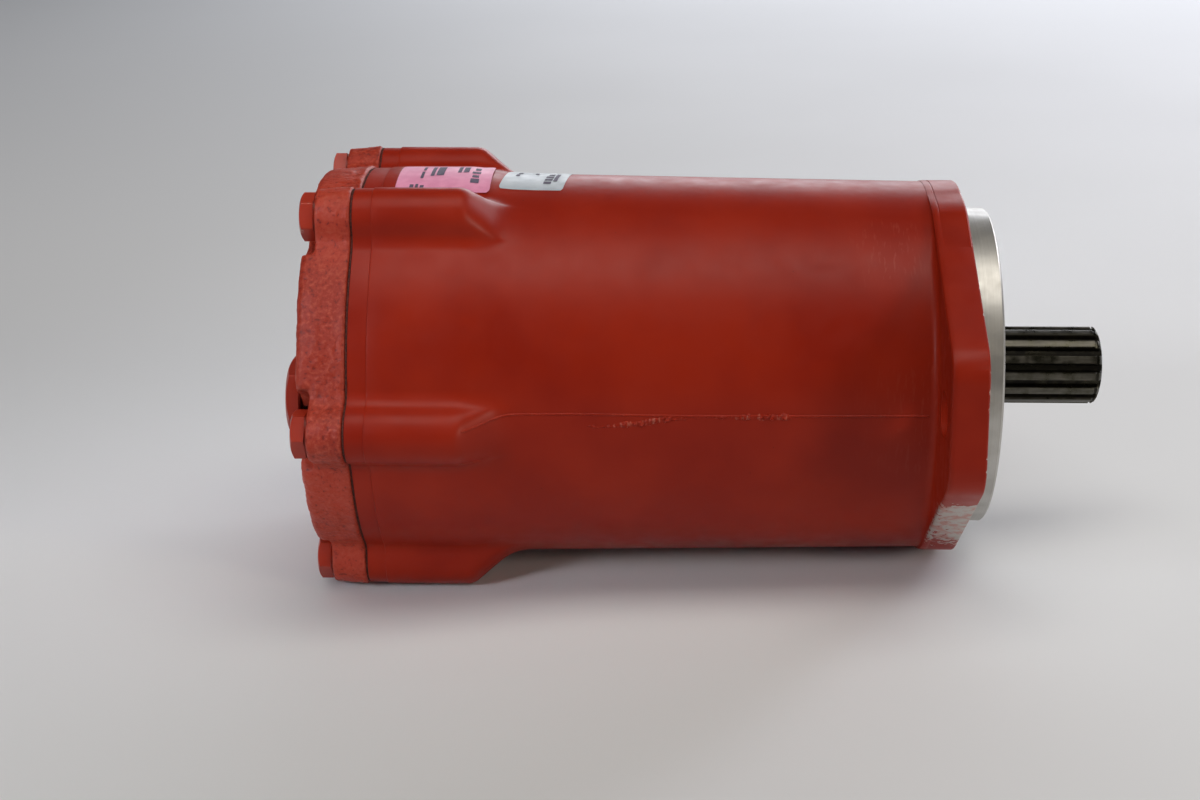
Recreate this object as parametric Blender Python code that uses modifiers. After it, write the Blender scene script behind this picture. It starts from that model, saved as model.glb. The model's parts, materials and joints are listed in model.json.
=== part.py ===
# Axial piston pump, fixed displacement: cast housing with a two-bolt mounting flange, pilot and
# splined shaft, six-bolt rear cover, and the whole rotating group on a fixed swashplate.
# Metres, +Z up, +X along the shaft towards its splined end. The origin is under the middle of the
# pump, on the plane that the two lower bolt lobes stand on. Every x in the sizes below counts from
# the mounting face of the flange, and every radius from the shaft's axis.
import math

import bmesh
import bpy
from mathutils import Matrix

# Mounting flange, pilot and shaft end
PILOT_RADIUS = 0.0635
PILOT_HEIGHT = 0.0127
FLANGE_THICKNESS = 0.0135
FLANGE_RADIUS = 0.0746
# The ears' straight edges pass the axis at this distance and fade into the round over EAR_FADE.
EAR_SHOULDER = 0.0770
EAR_FADE = math.radians(18)
EAR_CORNER_RADIUS = 0.0145
EAR_CORNER_U = 0.0942
EAR_CORNER_V = 0.0150
FLANGE_HOLE_OFFSET = 0.0905
FLANGE_HOLE_RADIUS = 0.00875
EAR_TURN = math.radians(-6.5)
SHAFT_END_X = 0.0598
SPLINE_TEETH = 14
SPLINE_MAJOR = 0.0156
SPLINE_MINOR = 0.0134

# Casing and rear cover
BODY_RADIUS_FRONT = 0.0742
BODY_RADIUS_REAR = 0.0770
JOINT_X = -0.2335
GASKET_THICKNESS = 0.0006
GAP = 0.0003
BOLT_CIRCLE = 0.0802
LOBE_ANGLES = [0.0, 60.0, 118.6, 181.9, 240.0, 300.0]
LOBE_RADIUS = 0.0113
LOBE_BASE_RADIUS = 0.0795
LOBE_FILLET = 0.0080
LOBES_FULL_X = -0.1940
LOBES_GONE_X = -0.1690
CAVITY_RADIUS = 0.0660
CAVITY_FRONT_X = -0.0300
COVER_SEAT_X = -0.2480
COVER_FACE_X = -0.2535
POCKET_OFFSET = 0.0865
POCKET_RADIUS = 0.0195
PLUG_OFFSET = 0.0560
PORT_TURN = math.radians(-3.5)
PLUG_FACE_X = -0.2590
PLUG_HEX_RADIUS = 0.0163
PLUG_TURNS = [25, 40.7]
PORT_THREAD_RADIUS = 0.0115
SPOT_FACE_DEPTH = 0.0006
DRAIN_X = -0.1300
DRAIN_FACE_Y = 0.0815
DRAIN_BOSS_RADIUS = 0.0130

# Cover bolts, seven sixteenths of an inch
BOLT_SHANK_RADIUS = 0.00555
BOLT_HEX_RADIUS = 0.0095
BOLT_HEAD_HEIGHT = 0.0060
BOLT_LENGTH = 0.0380
BOLT_HOLE_RADIUS = 0.0061
# Degrees that each head stopped at when it was tightened
BOLT_TURNS = [4, 12, 43.7, 27.1, 36.7, 33]

# Rotating group
SWASH_ANGLE = math.radians(15)
PISTON_COUNT = 9
BORE_CIRCLE = 0.0420
BORE_RADIUS = 0.0104
PISTON_RADIUS = 0.0090
PISTON_LENGTH = 0.0920
BALL_RADIUS = 0.0076
SOCKET_RADIUS = 0.0088
# The balls run on a tilted circle, so its radius lies halfway between the ellipses that fit.
BALL_CIRCLE = 2 * BORE_CIRCLE / (1 + math.cos(SWASH_ANGLE))
RUNNING_OFFSET = 0.0120
TILT_CENTRE_X = -0.0750 - RUNNING_OFFSET / math.cos(SWASH_ANGLE)
GUIDE_SPHERE_RADIUS = 0.0240
BLOCK_RADIUS = 0.0580
BLOCK_FRONT_X = -0.1180
BLOCK_REAR_X = -0.2000
BORE_BOTTOM_X = -0.1950
SPRING_CHAMBER_RADIUS = 0.0240
SPRING_CHAMBER_X = -0.1500
INNER_SPLINE_MAJOR = 0.0182
INNER_SPLINE_MINOR = 0.0165
PIN_CIRCLE = 0.0212
PIN_RADIUS = 0.0015
PLATE_THICKNESS = 0.0050
COVER_INNER_X = BLOCK_REAR_X - 2 * PLATE_THICKNESS - 3 * GAP

AXIS_Z = BOLT_CIRCLE * math.sin(math.radians(60)) + LOBE_RADIUS
FLANGE_X = -(PLUG_FACE_X + SHAFT_END_X) / 2

RED_PAINT = ("red_paint", (0.36, 0.06, 0.035), 0.45, 0.0)
STEEL = ("ground_steel", (0.45, 0.44, 0.42), 0.35, 1.0)
DARK_STEEL = ("oiled_steel", (0.20, 0.19, 0.16), 0.40, 1.0)
BRONZE = ("bronze", (0.62, 0.42, 0.18), 0.35, 1.0)
RUBBER = ("black_rubber", (0.02, 0.02, 0.02), 0.60, 0.0)
GASKET_PAPER = ("gasket_paper", (0.10, 0.09, 0.08), 0.90, 0.0)
PINK_PAPER = ("pink_label_paper", (0.85, 0.45, 0.55), 0.50, 0.0)
WHITE_PAPER = ("white_label_paper", (0.80, 0.82, 0.85), 0.50, 0.0)


def clear_scene():
    for old in list(bpy.data.objects):
        bpy.data.objects.remove(old, do_unlink=True)


clear_scene()
parts = bpy.data.collections.new("axial_piston_pump")
cutters = bpy.data.collections.new("cutters")
bpy.context.scene.collection.children.link(parts)
bpy.context.scene.collection.children.link(cutters)


def material(finish):
    name, colour, roughness, metallic = finish
    made = bpy.data.materials.get(name)
    if made is None:
        made = bpy.data.materials.new(name)
        made.use_nodes = True
        shader = made.node_tree.nodes["Principled BSDF"]
        shader.inputs["Base Color"].default_value = (*colour, 1.0)
        shader.inputs["Roughness"].default_value = roughness
        shader.inputs["Metallic"].default_value = metallic
    return made


def axis_empty(name, location, tilt=0.0, parent=None):
    """A joint's axis: the empty's own X is the axis."""
    empty = bpy.data.objects.new(name, None)
    empty.empty_display_size = 0.02
    empty.location = location
    empty.rotation_euler = (0, tilt, 0)
    empty.parent = parent
    parts.objects.link(empty)
    return empty


pump = axis_empty("pump", (FLANGE_X, 0, AXIS_Z))
shaft_axis = axis_empty("shaft_axis", (0, 0, 0), parent=pump)
tilt_axis = axis_empty("tilt_axis", (TILT_CENTRE_X, 0, 0), SWASH_ANGLE, parent=pump)


def place(name, mesh, finish, parent, collection=parts):
    piece = bpy.data.objects.new(name, mesh)
    piece.parent = parent
    if finish is not None:
        mesh.materials.clear()
        mesh.materials.append(material(finish))
    collection.objects.link(piece)
    if collection is cutters:
        piece.hide_render = True
        piece.display_type = "WIRE"
    return piece


def polar(radius, angle):
    return radius * math.cos(angle), radius * math.sin(angle)


def arc(centre, radius, start, end, steps):
    """Points (a, b) on an arc, both ends included, angles in radians."""
    turn = (end - start) / steps
    return [(centre[0] + radius * math.cos(start + turn * i), centre[1] + radius * math.sin(start + turn * i))
            for i in range(steps + 1)]


def turned(name, profile, finish=None, parent=pump, steps=48, collection=parts):
    """A turned piece about the parent's X. The profile's points are (x, radius), and run down the
    outer side from the +X end; one that starts and ends at radius 0 is solid."""
    points = [(radius, 0, x) for x, radius in profile]
    mesh = bpy.data.meshes.new(name)
    count = len(points)
    solid = profile[0][1] == 0 and profile[-1][1] == 0
    edges = [(i, i + 1) for i in range(count - 1)] + ([] if solid else [(count - 1, 0)])
    mesh.from_pydata(points, edges, [])
    piece = place(name, mesh, finish, parent, collection)
    piece.rotation_euler = (0, math.pi / 2, 0)
    screw = piece.modifiers.new("turn", "SCREW")
    screw.axis = "Z"
    screw.angle = 2 * math.pi
    screw.steps = steps
    screw.render_steps = steps
    screw.use_merge_vertices = True
    screw.merge_threshold = 0.00001
    return piece


def ring(name, x_front, x_rear, outer, inner, finish=None, parent=pump, steps=48, collection=parts):
    profile = [(x_front, outer), (x_rear, outer), (x_rear, inner), (x_front, inner)]
    if inner == 0:
        profile = [(x_front, 0), (x_front, outer), (x_rear, outer), (x_rear, 0)]
    return turned(name, profile, finish, parent, steps, collection)


def rods(name, places, x_front, x_rear, radius, sides, finish=None, parent=pump, collection=cutters,
         turn=0.0):
    """Round or six-sided bars along X, one at each (y, z)."""
    mesh = bpy.data.meshes.new(name)
    build = bmesh.new()
    for y, z in places:
        upright = Matrix.Translation(((x_front + x_rear) / 2, y, z)) @ Matrix.Rotation(math.pi / 2, 4, "Y")
        bmesh.ops.create_cone(build, cap_ends=True, segments=sides, radius1=radius, radius2=radius,
                              depth=x_front - x_rear, matrix=upright @ Matrix.Rotation(turn, 4, "Z"))
    build.to_mesh(mesh)
    build.free()
    return place(name, mesh, finish, parent, collection)


def as_mesh(piece):
    """The piece with its modifiers worked in, welded."""
    depsgraph = bpy.context.evaluated_depsgraph_get()
    depsgraph.update()
    mesh = bpy.data.meshes.new_from_object(piece.evaluated_get(depsgraph))
    build = bmesh.new()
    build.from_mesh(mesh)
    bmesh.ops.remove_doubles(build, verts=build.verts, dist=0.000001)
    build.to_mesh(mesh)
    build.free()
    return mesh


def extruded(name, outline, x_front, x_rear, finish=None, collection=parts, parent=pump):
    """A flat outline of (y, z) points, extruded along X."""
    curve = bpy.data.curves.new(name, "CURVE")
    curve.dimensions = "2D"
    curve.fill_mode = "BOTH"
    curve.extrude = (x_front - x_rear) / 2
    spline = curve.splines.new("POLY")
    spline.points.add(len(outline) - 1)
    for point, (y, z) in zip(spline.points, outline):
        point.co = (-z, y, 0, 1)
    spline.use_cyclic_u = True
    flat = bpy.data.objects.new(name + "_outline", curve)
    parts.objects.link(flat)
    mesh = as_mesh(flat)
    bpy.data.objects.remove(flat, do_unlink=True)
    piece = place(name, mesh, finish, parent, collection)
    piece.rotation_euler = (0, math.pi / 2, 0)
    piece.location = ((x_front + x_rear) / 2, 0, 0)
    return piece


def combine(piece, other, operation):
    """Adds a Boolean modifier, and moves the other piece to the cutters."""
    if other.name in parts.objects:
        parts.objects.unlink(other)
        cutters.objects.link(other)
    other.hide_render = True
    other.display_type = "WIRE"
    boolean = piece.modifiers.new(other.name, "BOOLEAN")
    boolean.operation = operation
    boolean.solver = "EXACT"
    boolean.object = other


def cut(piece, *others):
    for other in others:
        combine(piece, other, "DIFFERENCE")


def join(piece, *others):
    for other in others:
        combine(piece, other, "UNION")


def bolt_places(radius=BOLT_CIRCLE):
    return [polar(radius, math.radians(angle)) for angle in LOBE_ANGLES]


def lobed_radius(angle, inset=0.0):
    """Radius of the six-lobed outline: a base circle, a round lobe at each bolt, and a fillet
    tangent to both."""
    away = min(abs((angle - math.radians(lobe) + math.pi) % math.tau - math.pi) for lobe in LOBE_ANGLES)
    base = LOBE_BASE_RADIUS - inset
    lobe = LOBE_RADIUS - inset
    to_fillet = base + LOBE_FILLET
    between = lobe + LOBE_FILLET
    squares = BOLT_CIRCLE ** 2 + to_fillet ** 2 - between ** 2
    fillet_angle = math.acos(squares / (2 * BOLT_CIRCLE * to_fillet))
    touch_y = BOLT_CIRCLE + (to_fillet * math.cos(fillet_angle) - BOLT_CIRCLE) * lobe / between
    touch_z = to_fillet * math.sin(fillet_angle) * lobe / between
    if away >= fillet_angle:
        return base
    if away >= math.atan2(touch_z, touch_y):
        side = to_fillet * math.sin(fillet_angle - away)
        return to_fillet * math.cos(fillet_angle - away) - math.sqrt(max(LOBE_FILLET ** 2 - side ** 2, 0))
    side = BOLT_CIRCLE * math.sin(away)
    return BOLT_CIRCLE * math.cos(away) + math.sqrt(max(lobe ** 2 - side ** 2, 0))


def outline_angles():
    """Close together over each lobe, wide apart between them."""
    half = [3.6, 6.6, 8.6, 12.2, 20.0]
    sector = sorted([-a for a in half] + [0.0] + half + [28.8])
    return [math.radians(lobe + a) for lobe in LOBE_ANGLES for a in sector]


def loft(name, sections, finish=None, collection=parts):
    """A closed skin through sections (x, radius function), all on the same angles."""
    angles = outline_angles()
    mesh = bpy.data.meshes.new(name)
    build = bmesh.new()
    rings = []
    for x, radius_at in sections:
        rings.append([build.verts.new((x, *polar(radius_at(a), a))) for a in angles])
    for near, far in zip(rings, rings[1:]):
        for i in range(len(angles)):
            j = (i + 1) % len(angles)
            build.faces.new((near[i], near[j], far[j], far[i]))
    build.faces.new(rings[0])
    build.faces.new(rings[-1])
    bmesh.ops.recalc_face_normals(build, faces=build.faces)
    build.to_mesh(mesh)
    build.free()
    return place(name, mesh, finish, pump, collection)


def spline_outline(major, minor, teeth, widen=0.0):
    """Straight-flanked teeth: four points each."""
    points = []
    for i in range(teeth):
        middle = math.tau * i / teeth
        for radius, offset in ((minor, -0.34), (major, -0.19), (major, 0.19), (minor, 0.34)):
            swing = math.copysign(abs(offset) * math.tau / teeth + widen / radius, offset)
            points.append(polar(radius, middle + swing))
    return points


def kidney_outline(radius, half_width, centre_angle, half_angle):
    outer = arc((0, 0), radius + half_width, centre_angle - half_angle, centre_angle + half_angle, 8)
    end = polar(radius, centre_angle + half_angle)
    start = polar(radius, centre_angle - half_angle)
    far_end = arc(end, half_width, centre_angle + half_angle, centre_angle + half_angle + math.pi, 4)
    inner = arc((0, 0), radius - half_width, centre_angle + half_angle, centre_angle - half_angle, 8)
    start_angle = centre_angle - half_angle
    near_end = arc(start, half_width, start_angle + math.pi, start_angle + math.tau, 4)
    return outer + far_end[1:-1] + inner + near_end[1:-1]


def flange_outline():
    """The round middle and the two ears, whose straight edges fade into it, turned by the clocking."""
    reach = math.hypot(EAR_CORNER_U, EAR_CORNER_V)
    normal = math.atan2(EAR_CORNER_V, EAR_CORNER_U) + math.acos((EAR_SHOULDER - EAR_CORNER_RADIUS) / reach)
    corner = (EAR_CORNER_U, EAR_CORNER_V)
    upper = arc(corner, EAR_CORNER_RADIUS, 0, normal, 4)
    for step in range(5):
        share = step / 4
        bulge = (EAR_SHOULDER - FLANGE_RADIUS) * (1 - share * share * (3 - 2 * share))
        upper.append(polar(FLANGE_RADIUS + bulge, normal + EAR_FADE * share))
    upper += arc((0, 0), FLANGE_RADIUS, normal + EAR_FADE, math.pi / 2, 2)[1:]
    half = [(u, -v) for u, v in reversed(upper)] + upper
    outline = half + [(-u, -v) for u, v in half[1:-1]]
    return [(u * math.cos(EAR_TURN) - v * math.sin(EAR_TURN), u * math.sin(EAR_TURN) + v * math.cos(EAR_TURN))
            for u, v in outline]


def body_radius(x):
    along = (x + FLANGE_THICKNESS) / (LOBES_GONE_X + FLANGE_THICKNESS)
    return BODY_RADIUS_FRONT + (BODY_RADIUS_REAR - BODY_RADIUS_FRONT) * min(along, 1)


def casing_radius(x):
    """Radius function of the casing at x: lobed at the rear, fading into the tapered barrel."""
    faded = min(max((x - LOBES_FULL_X) / (LOBES_GONE_X - LOBES_FULL_X), 0), 1)
    share = 1 - faded * faded * (3 - 2 * faded)
    return lambda angle: body_radius(x) + (lobed_radius(angle) - body_radius(x)) * share


def make_housing():
    stations = [JOINT_X, LOBES_FULL_X, -0.1890, -0.1840, -0.1790, -0.1740, LOBES_GONE_X, -0.0120]
    housing = loft("housing", [(x, casing_radius(x)) for x in stations], RED_PAINT)
    join(housing, extruded("flange_plate", flange_outline(), 0, -FLANGE_THICKNESS))
    join(housing, turned("pilot", [(PILOT_HEIGHT, 0), (PILOT_HEIGHT, PILOT_RADIUS - 0.0015),
                                   (PILOT_HEIGHT - 0.0015, PILOT_RADIUS), (-0.0010, PILOT_RADIUS),
                                   (-0.0010, 0)],
                         steps=48))
    cut(housing, turned("cavity", [
        (0.0200, 0), (0.0200, 0.0262), (0.0106, 0.0262), (0.0106, 0.0276), (0.0090, 0.0276), (0.0090, 0.0262),
        (0.0002, 0.0262), (0.0002, 0.0205), (-0.0042, 0.0205), (-0.0042, 0.0362), (-0.0244, 0.0362),
        (CAVITY_FRONT_X, 0.0362), (CAVITY_FRONT_X, CAVITY_RADIUS), (-0.2450, CAVITY_RADIUS), (-0.2450, 0)],
        steps=36, collection=cutters))
    cut(housing, rods("cover_bolt_holes", bolt_places(), -0.2050, -0.2400, BOLT_HOLE_RADIUS, 10))
    holes = [polar(FLANGE_HOLE_OFFSET, EAR_TURN), polar(-FLANGE_HOLE_OFFSET, EAR_TURN)]
    cut(housing, rods("flange_holes", holes, 0.0100, -0.0300, FLANGE_HOLE_RADIUS, 20))
    # The drain boss stands on the side away from the front ear
    boss = across("drain_boss", 0.0700, DRAIN_FACE_Y, DRAIN_BOSS_RADIUS, 20)
    join(housing, boss)
    cut(housing, across("drain_port", 0.0600, 0.0900, 0.0074, 12))
    return housing


def across(name, y_low, y_high, radius, sides, collection=cutters, finish=None):
    """A bar along Y at the drain port."""
    mesh = bpy.data.meshes.new(name)
    build = bmesh.new()
    lying = Matrix.Translation((DRAIN_X, (y_low + y_high) / 2, 0)) @ Matrix.Rotation(math.pi / 2, 4, "X")
    bmesh.ops.create_cone(build, cap_ends=True, segments=sides, radius1=radius, radius2=radius,
                          depth=y_high - y_low, matrix=lying)
    build.to_mesh(mesh)
    build.free()
    return place(name, mesh, finish, pump, collection)


def make_drain_plug():
    plug = across("drain_plug", DRAIN_FACE_Y + GAP, 0.0868, 0.0120, 6, parts, RED_PAINT)
    join(plug, across("drain_plug_thread", 0.0700, 0.0830, 0.0067, 12))


def make_rear_cover():
    joint = JOINT_X - GASKET_THICKNESS - 2 * GAP

    def outline(inset):
        return lambda angle: lobed_radius(angle) - inset

    cover = loft("rear_cover", [(joint, outline(0)), (COVER_FACE_X + 0.0030, outline(0.0006)),
                                (COVER_FACE_X, outline(0.0035))], RED_PAINT)
    cut(cover, rods("bolt_pockets", bolt_places(POCKET_OFFSET), COVER_SEAT_X, -0.2600, POCKET_RADIUS, 20))
    spigot = turned("spigot", [(COVER_INNER_X, 0), (COVER_INNER_X, 0.0645), (COVER_INNER_X - 0.0010, 0.0654),
                               (joint - 0.0020, 0.0654), (joint - 0.0020, 0)], steps=36)
    join(cover, spigot)
    cut(cover, rods("cover_clearance_holes", bolt_places(), -0.2300, -0.2600, BOLT_HOLE_RADIUS, 10))
    cut(cover, turned("rear_bearing_bore", [(-0.2050, 0), (-0.2050, 0.0210), (-0.2370, 0.0210), (-0.2370, 0)],
                      steps=28, collection=cutters))
    for i, side in enumerate((0, math.pi)):
        angle = PORT_TURN + side
        kidney = kidney_outline(BORE_CIRCLE, 0.0062, side, math.radians(58))
        cut(cover, extruded(f"kidney_pocket_{i}", kidney, -0.2050, COVER_INNER_X - 0.0120,
                            collection=cutters))
        y, z = polar(PLUG_OFFSET, angle)
        inner_y, inner_z = polar(PLUG_OFFSET - 0.0060, angle)
        cut(cover, rods(f"port_passage_{i}", [(inner_y, inner_z)], COVER_INNER_X - 0.0100, -0.2400,
                        0.0080, 12))
        cut(cover, rods(f"port_bore_{i}", [(y, z)], -0.2345, -0.2650, PORT_THREAD_RADIUS + 0.0007, 20))
        cut(cover, rods(f"port_spot_face_{i}", [(y, z)], COVER_FACE_X + SPOT_FACE_DEPTH, -0.2650, 0.0178, 24))
    y, z = polar(0.0530, math.pi / 2)
    cut(cover, rods("locating_pin_hole", [(y, z)], -0.2050, -0.2195, 0.0024, 8))


def make_gasket():
    outline = [polar(lobed_radius(a, 0.0010), a) for a in outline_angles()]
    front = JOINT_X - GAP
    gasket = extruded("cover_gasket", outline, front, front - GASKET_THICKNESS, GASKET_PAPER)
    cut(gasket, ring("gasket_opening", -0.2300, -0.2400, 0.0665, 0, steps=36, collection=cutters))
    cut(gasket, rods("gasket_bolt_holes", bolt_places(), -0.2300, -0.2400, 0.0062, 8))


def make_bolts():
    # One bolt is built on the axis and its mesh is shared
    head = rods("bolt_pattern_piece", [(0, 0)], COVER_SEAT_X - GAP, COVER_SEAT_X - GAP - BOLT_HEAD_HEIGHT,
                BOLT_HEX_RADIUS, 6, collection=parts)
    join(head, rods("bolt_shank", [(0, 0)], COVER_SEAT_X + BOLT_LENGTH, COVER_SEAT_X - 0.0020,
                    BOLT_SHANK_RADIUS, 10))
    mesh = as_mesh(head)
    bpy.data.objects.remove(head, do_unlink=True)
    for i, (y, z) in enumerate(bolt_places()):
        bolt = place(f"cover_bolt_{i + 1}", mesh, RED_PAINT, pump)
        bolt.location = (0, y, z)
        bolt.rotation_euler = (math.radians(BOLT_TURNS[i]), 0, 0)


def make_port_plugs():
    for i, side in enumerate(("rear", "front")):
        y, z = polar(PLUG_OFFSET, PORT_TURN + math.pi * i)
        seat = COVER_FACE_X + SPOT_FACE_DEPTH - GAP
        plug = rods(f"port_plug_{side}", [(y, z)], seat, PLUG_FACE_X, PLUG_HEX_RADIUS, 6, RED_PAINT,
                    collection=parts, turn=math.radians(PLUG_TURNS[i]))
        join(plug, rods(f"plug_neck_{side}", [(y, z)], -0.2480, PLUG_FACE_X + 0.0020, 0.0098, 16))
        join(plug, rods(f"plug_thread_{side}", [(y, z)], -0.2380, -0.2495, PORT_THREAD_RADIUS, 16))
        section = arc((-0.2516, 0.0110), 0.0007, 0, math.tau, 6)[:-1]
        seal = turned(f"port_seal_{side}", section, RUBBER, steps=16)
        seal.location = (0, y, z)


def roller_cage(name, x_front, x_rear, circle, roller_radius, count, parent):
    """Rollers joined by a thin cage that fills the pitch between them."""
    middle = (x_front + x_rear) / 2
    reach = (x_front - x_rear) / 2 - 0.0020
    web = roller_radius * 0.35
    cage = ring(name, middle + reach, middle - reach, circle + web, circle - web, STEEL, parent, steps=count)
    places = [polar(circle, math.tau * i / count) for i in range(count)]
    join(cage, rods(name + "_rollers", places, x_front, x_rear, roller_radius, 6, parent=parent))


def make_bearings():
    turned("front_bearing_cup", [(-0.0045, 0.0358), (-0.0240, 0.0358), (-0.0240, 0.0316), (-0.0045, 0.0316)],
           STEEL, steps=32)
    turned("front_bearing_cone", [(-0.0045, 0.0224), (-0.0240, 0.0224), (-0.0240, 0.0179), (-0.0045, 0.0179)],
           STEEL, shaft_axis, steps=28)
    cage_axis = axis_empty("front_cage_axis", (0, 0, 0), parent=pump)
    roller_cage("front_bearing_rollers", -0.0055, -0.0230, 0.0270, 0.0040, 12, cage_axis)
    ring("rear_bearing_ring", -0.2130, -0.2350, 0.0206, 0.0182, STEEL, steps=24)
    rear_axis = axis_empty("rear_cage_axis", (0, 0, 0), parent=pump)
    roller_cage("rear_bearing_rollers", -0.2140, -0.2340, 0.0161, 0.0016, 12, rear_axis)


def make_seal_and_clip():
    turned("shaft_seal", [(0.0084, 0.0258), (0.0006, 0.0258), (0.0006, 0.0180), (0.0030, 0.0174),
                          (0.0050, 0.0180), (0.0050, 0.0215), (0.0084, 0.0215)], RUBBER, steps=32)
    clip = ring("seal_snap_ring", 0.0104, 0.0092, 0.0272, 0.0245, DARK_STEEL, steps=28)
    cut(clip, rods("seal_ring_gap", [(0, 0.0270)], 0.0200, 0.0050, 0.0035, 4))


def make_shaft():
    shaft = turned("drive_shaft", [
        (0.0125, 0), (0.0125, 0.0160), (0.0115, 0.0170), (-0.0030, 0.0170), (-0.0030, 0.0175),
        (-0.0255, 0.0175),
        (-0.0255, 0.0220), (-0.0298, 0.0220), (-0.0298, 0.0164), (-0.1515, 0.0164), (-0.1515, 0.0150),
        (-0.2060, 0.0150), (-0.2060, 0.0140), (-0.2345, 0.0140), (-0.2355, 0.0130), (-0.2355, 0)],
        DARK_STEEL, shaft_axis, steps=24)
    join(shaft, extruded("outer_spline", spline_outline(SPLINE_MAJOR, SPLINE_MINOR, SPLINE_TEETH),
                         SHAFT_END_X, 0.0100, parent=shaft_axis))
    join(shaft, extruded("inner_spline", spline_outline(INNER_SPLINE_MAJOR, INNER_SPLINE_MINOR, SPLINE_TEETH),
                         -0.0900, -0.1510, parent=shaft_axis))


def make_block():
    block = turned("cylinder_block", [
        (BLOCK_FRONT_X, BLOCK_RADIUS), (BLOCK_REAR_X, BLOCK_RADIUS), (BLOCK_REAR_X, SPRING_CHAMBER_RADIUS),
        (-0.1920, SPRING_CHAMBER_RADIUS), (-0.1920, 0.0256), (-0.1901, 0.0256), (-0.1901,
        SPRING_CHAMBER_RADIUS),
        (SPRING_CHAMBER_X, SPRING_CHAMBER_RADIUS), (SPRING_CHAMBER_X, 0.0160), (BLOCK_FRONT_X, 0.0160)],
        STEEL, shaft_axis, steps=36)
    teeth = spline_outline(INNER_SPLINE_MAJOR + 0.0004, INNER_SPLINE_MINOR + 0.0004, SPLINE_TEETH, 0.0004)
    cut(block, extruded("block_spline", teeth, -0.1100, -0.1600, collection=cutters, parent=shaft_axis))
    bores = [polar(BORE_CIRCLE, math.tau * i / PISTON_COUNT) for i in range(PISTON_COUNT)]
    cut(block, rods("piston_bores", bores, -0.1100, BORE_BOTTOM_X, BORE_RADIUS, 12, parent=shaft_axis))
    cut(block, rods("block_ports", bores, BORE_BOTTOM_X + 0.0010, -0.2050, 0.0060, 8, parent=shaft_axis))
    pins = [polar(PIN_CIRCLE, math.tau * (i + 0.5) / 3) for i in range(3)]
    cut(block, rods("push_pin_holes", pins, -0.1100, -0.1550, 0.0020, 6, parent=shaft_axis))
    for i, place_yz in enumerate(pins):
        rods(f"push_pin_{i + 1}", [place_yz], -0.1168, SPRING_CHAMBER_X, PIN_RADIUS, 8, STEEL,
        shaft_axis, parts)
    plate_front = BLOCK_REAR_X - GAP
    plate = ring("bearing_plate", plate_front, plate_front - PLATE_THICKNESS, BLOCK_RADIUS, 0.0240,
                 BRONZE, shaft_axis, 36)
    cut(plate, rods("bearing_plate_ports", bores, -0.1900, -0.2100, 0.0060, 8, parent=shaft_axis))


def make_block_spring():
    turns, mean_radius, wire_radius, per_turn = 5, 0.0212, 0.0013, 12
    front, rear = -0.1542, -0.1859
    ring("spring_seat_front", -0.1503, -0.1524, 0.0234, 0.0188, STEEL, shaft_axis, 20)
    ring("spring_seat_rear", -0.1877, -0.1898, 0.0234, 0.0188, STEEL, shaft_axis, 20)
    clip = ring("block_snap_ring", -0.1904, -0.1917, 0.0252, 0.0200, DARK_STEEL, shaft_axis, 24)
    cut(clip, rods("block_ring_gap", [(0, 0.0240)], -0.1850, -0.1950, 0.0060, 4, parent=shaft_axis))
    curve = bpy.data.curves.new("block_spring", "CURVE")
    curve.dimensions = "3D"
    curve.bevel_depth = wire_radius
    curve.bevel_resolution = 1
    curve.use_fill_caps = True
    curve.materials.append(material(STEEL))
    spline = curve.splines.new("POLY")
    count = turns * per_turn
    spline.points.add(count)
    for i, point in enumerate(spline.points):
        y, z = polar(mean_radius, math.tau * i / per_turn)
        point.co = (front + (rear - front) * i / count, y, z, 1)
    spring = bpy.data.objects.new("block_spring", curve)
    spring.parent = shaft_axis
    parts.objects.link(spring)


def make_ball_guide():
    front, back = 0.0055, -0.0110
    arc_from = math.acos(front / GUIDE_SPHERE_RADIUS)
    arc_to = math.acos(back / GUIDE_SPHERE_RADIUS)
    sphere = arc((TILT_CENTRE_X, 0), GUIDE_SPHERE_RADIUS, arc_from, arc_to, 4)
    turned("ball_guide", sphere + [(-0.1120, 0.0213), (-0.1120, 0.0232), (-0.1165, 0.0232), (-0.1165, 0.0187),
                                   (TILT_CENTRE_X + front, 0.0187)], STEEL, shaft_axis, steps=24)


def make_swash_side():
    """The wedge, its thrust plate and the retainer, on the tilted axis."""
    wedge = ring("swashplate", CAVITY_FRONT_X - GAP, -0.1100, 0.0620, 0.0245, DARK_STEEL, steps=36)
    back = RUNNING_OFFSET + PLATE_THICKNESS + GAP
    cut(wedge, ring("tilt_cut", back, -0.0800, 0.1200, 0, parent=tilt_axis, steps=4, collection=cutters))
    ring("thrust_plate", RUNNING_OFFSET + PLATE_THICKNESS, RUNNING_OFFSET, 0.0580, 0.0260, STEEL,
         tilt_axis, 36)
    retainer = ring("slipper_retainer", 0.0074, 0.0034, 0.0575, 0.0250, BRONZE, tilt_axis, 36)
    spots = [polar(BALL_CIRCLE, math.tau * i / PISTON_COUNT) for i in range(PISTON_COUNT)]
    cut(retainer, rods("slipper_holes", spots, 0.0200, -0.0100, 0.0118, 12, parent=tilt_axis))
    return spots


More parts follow.
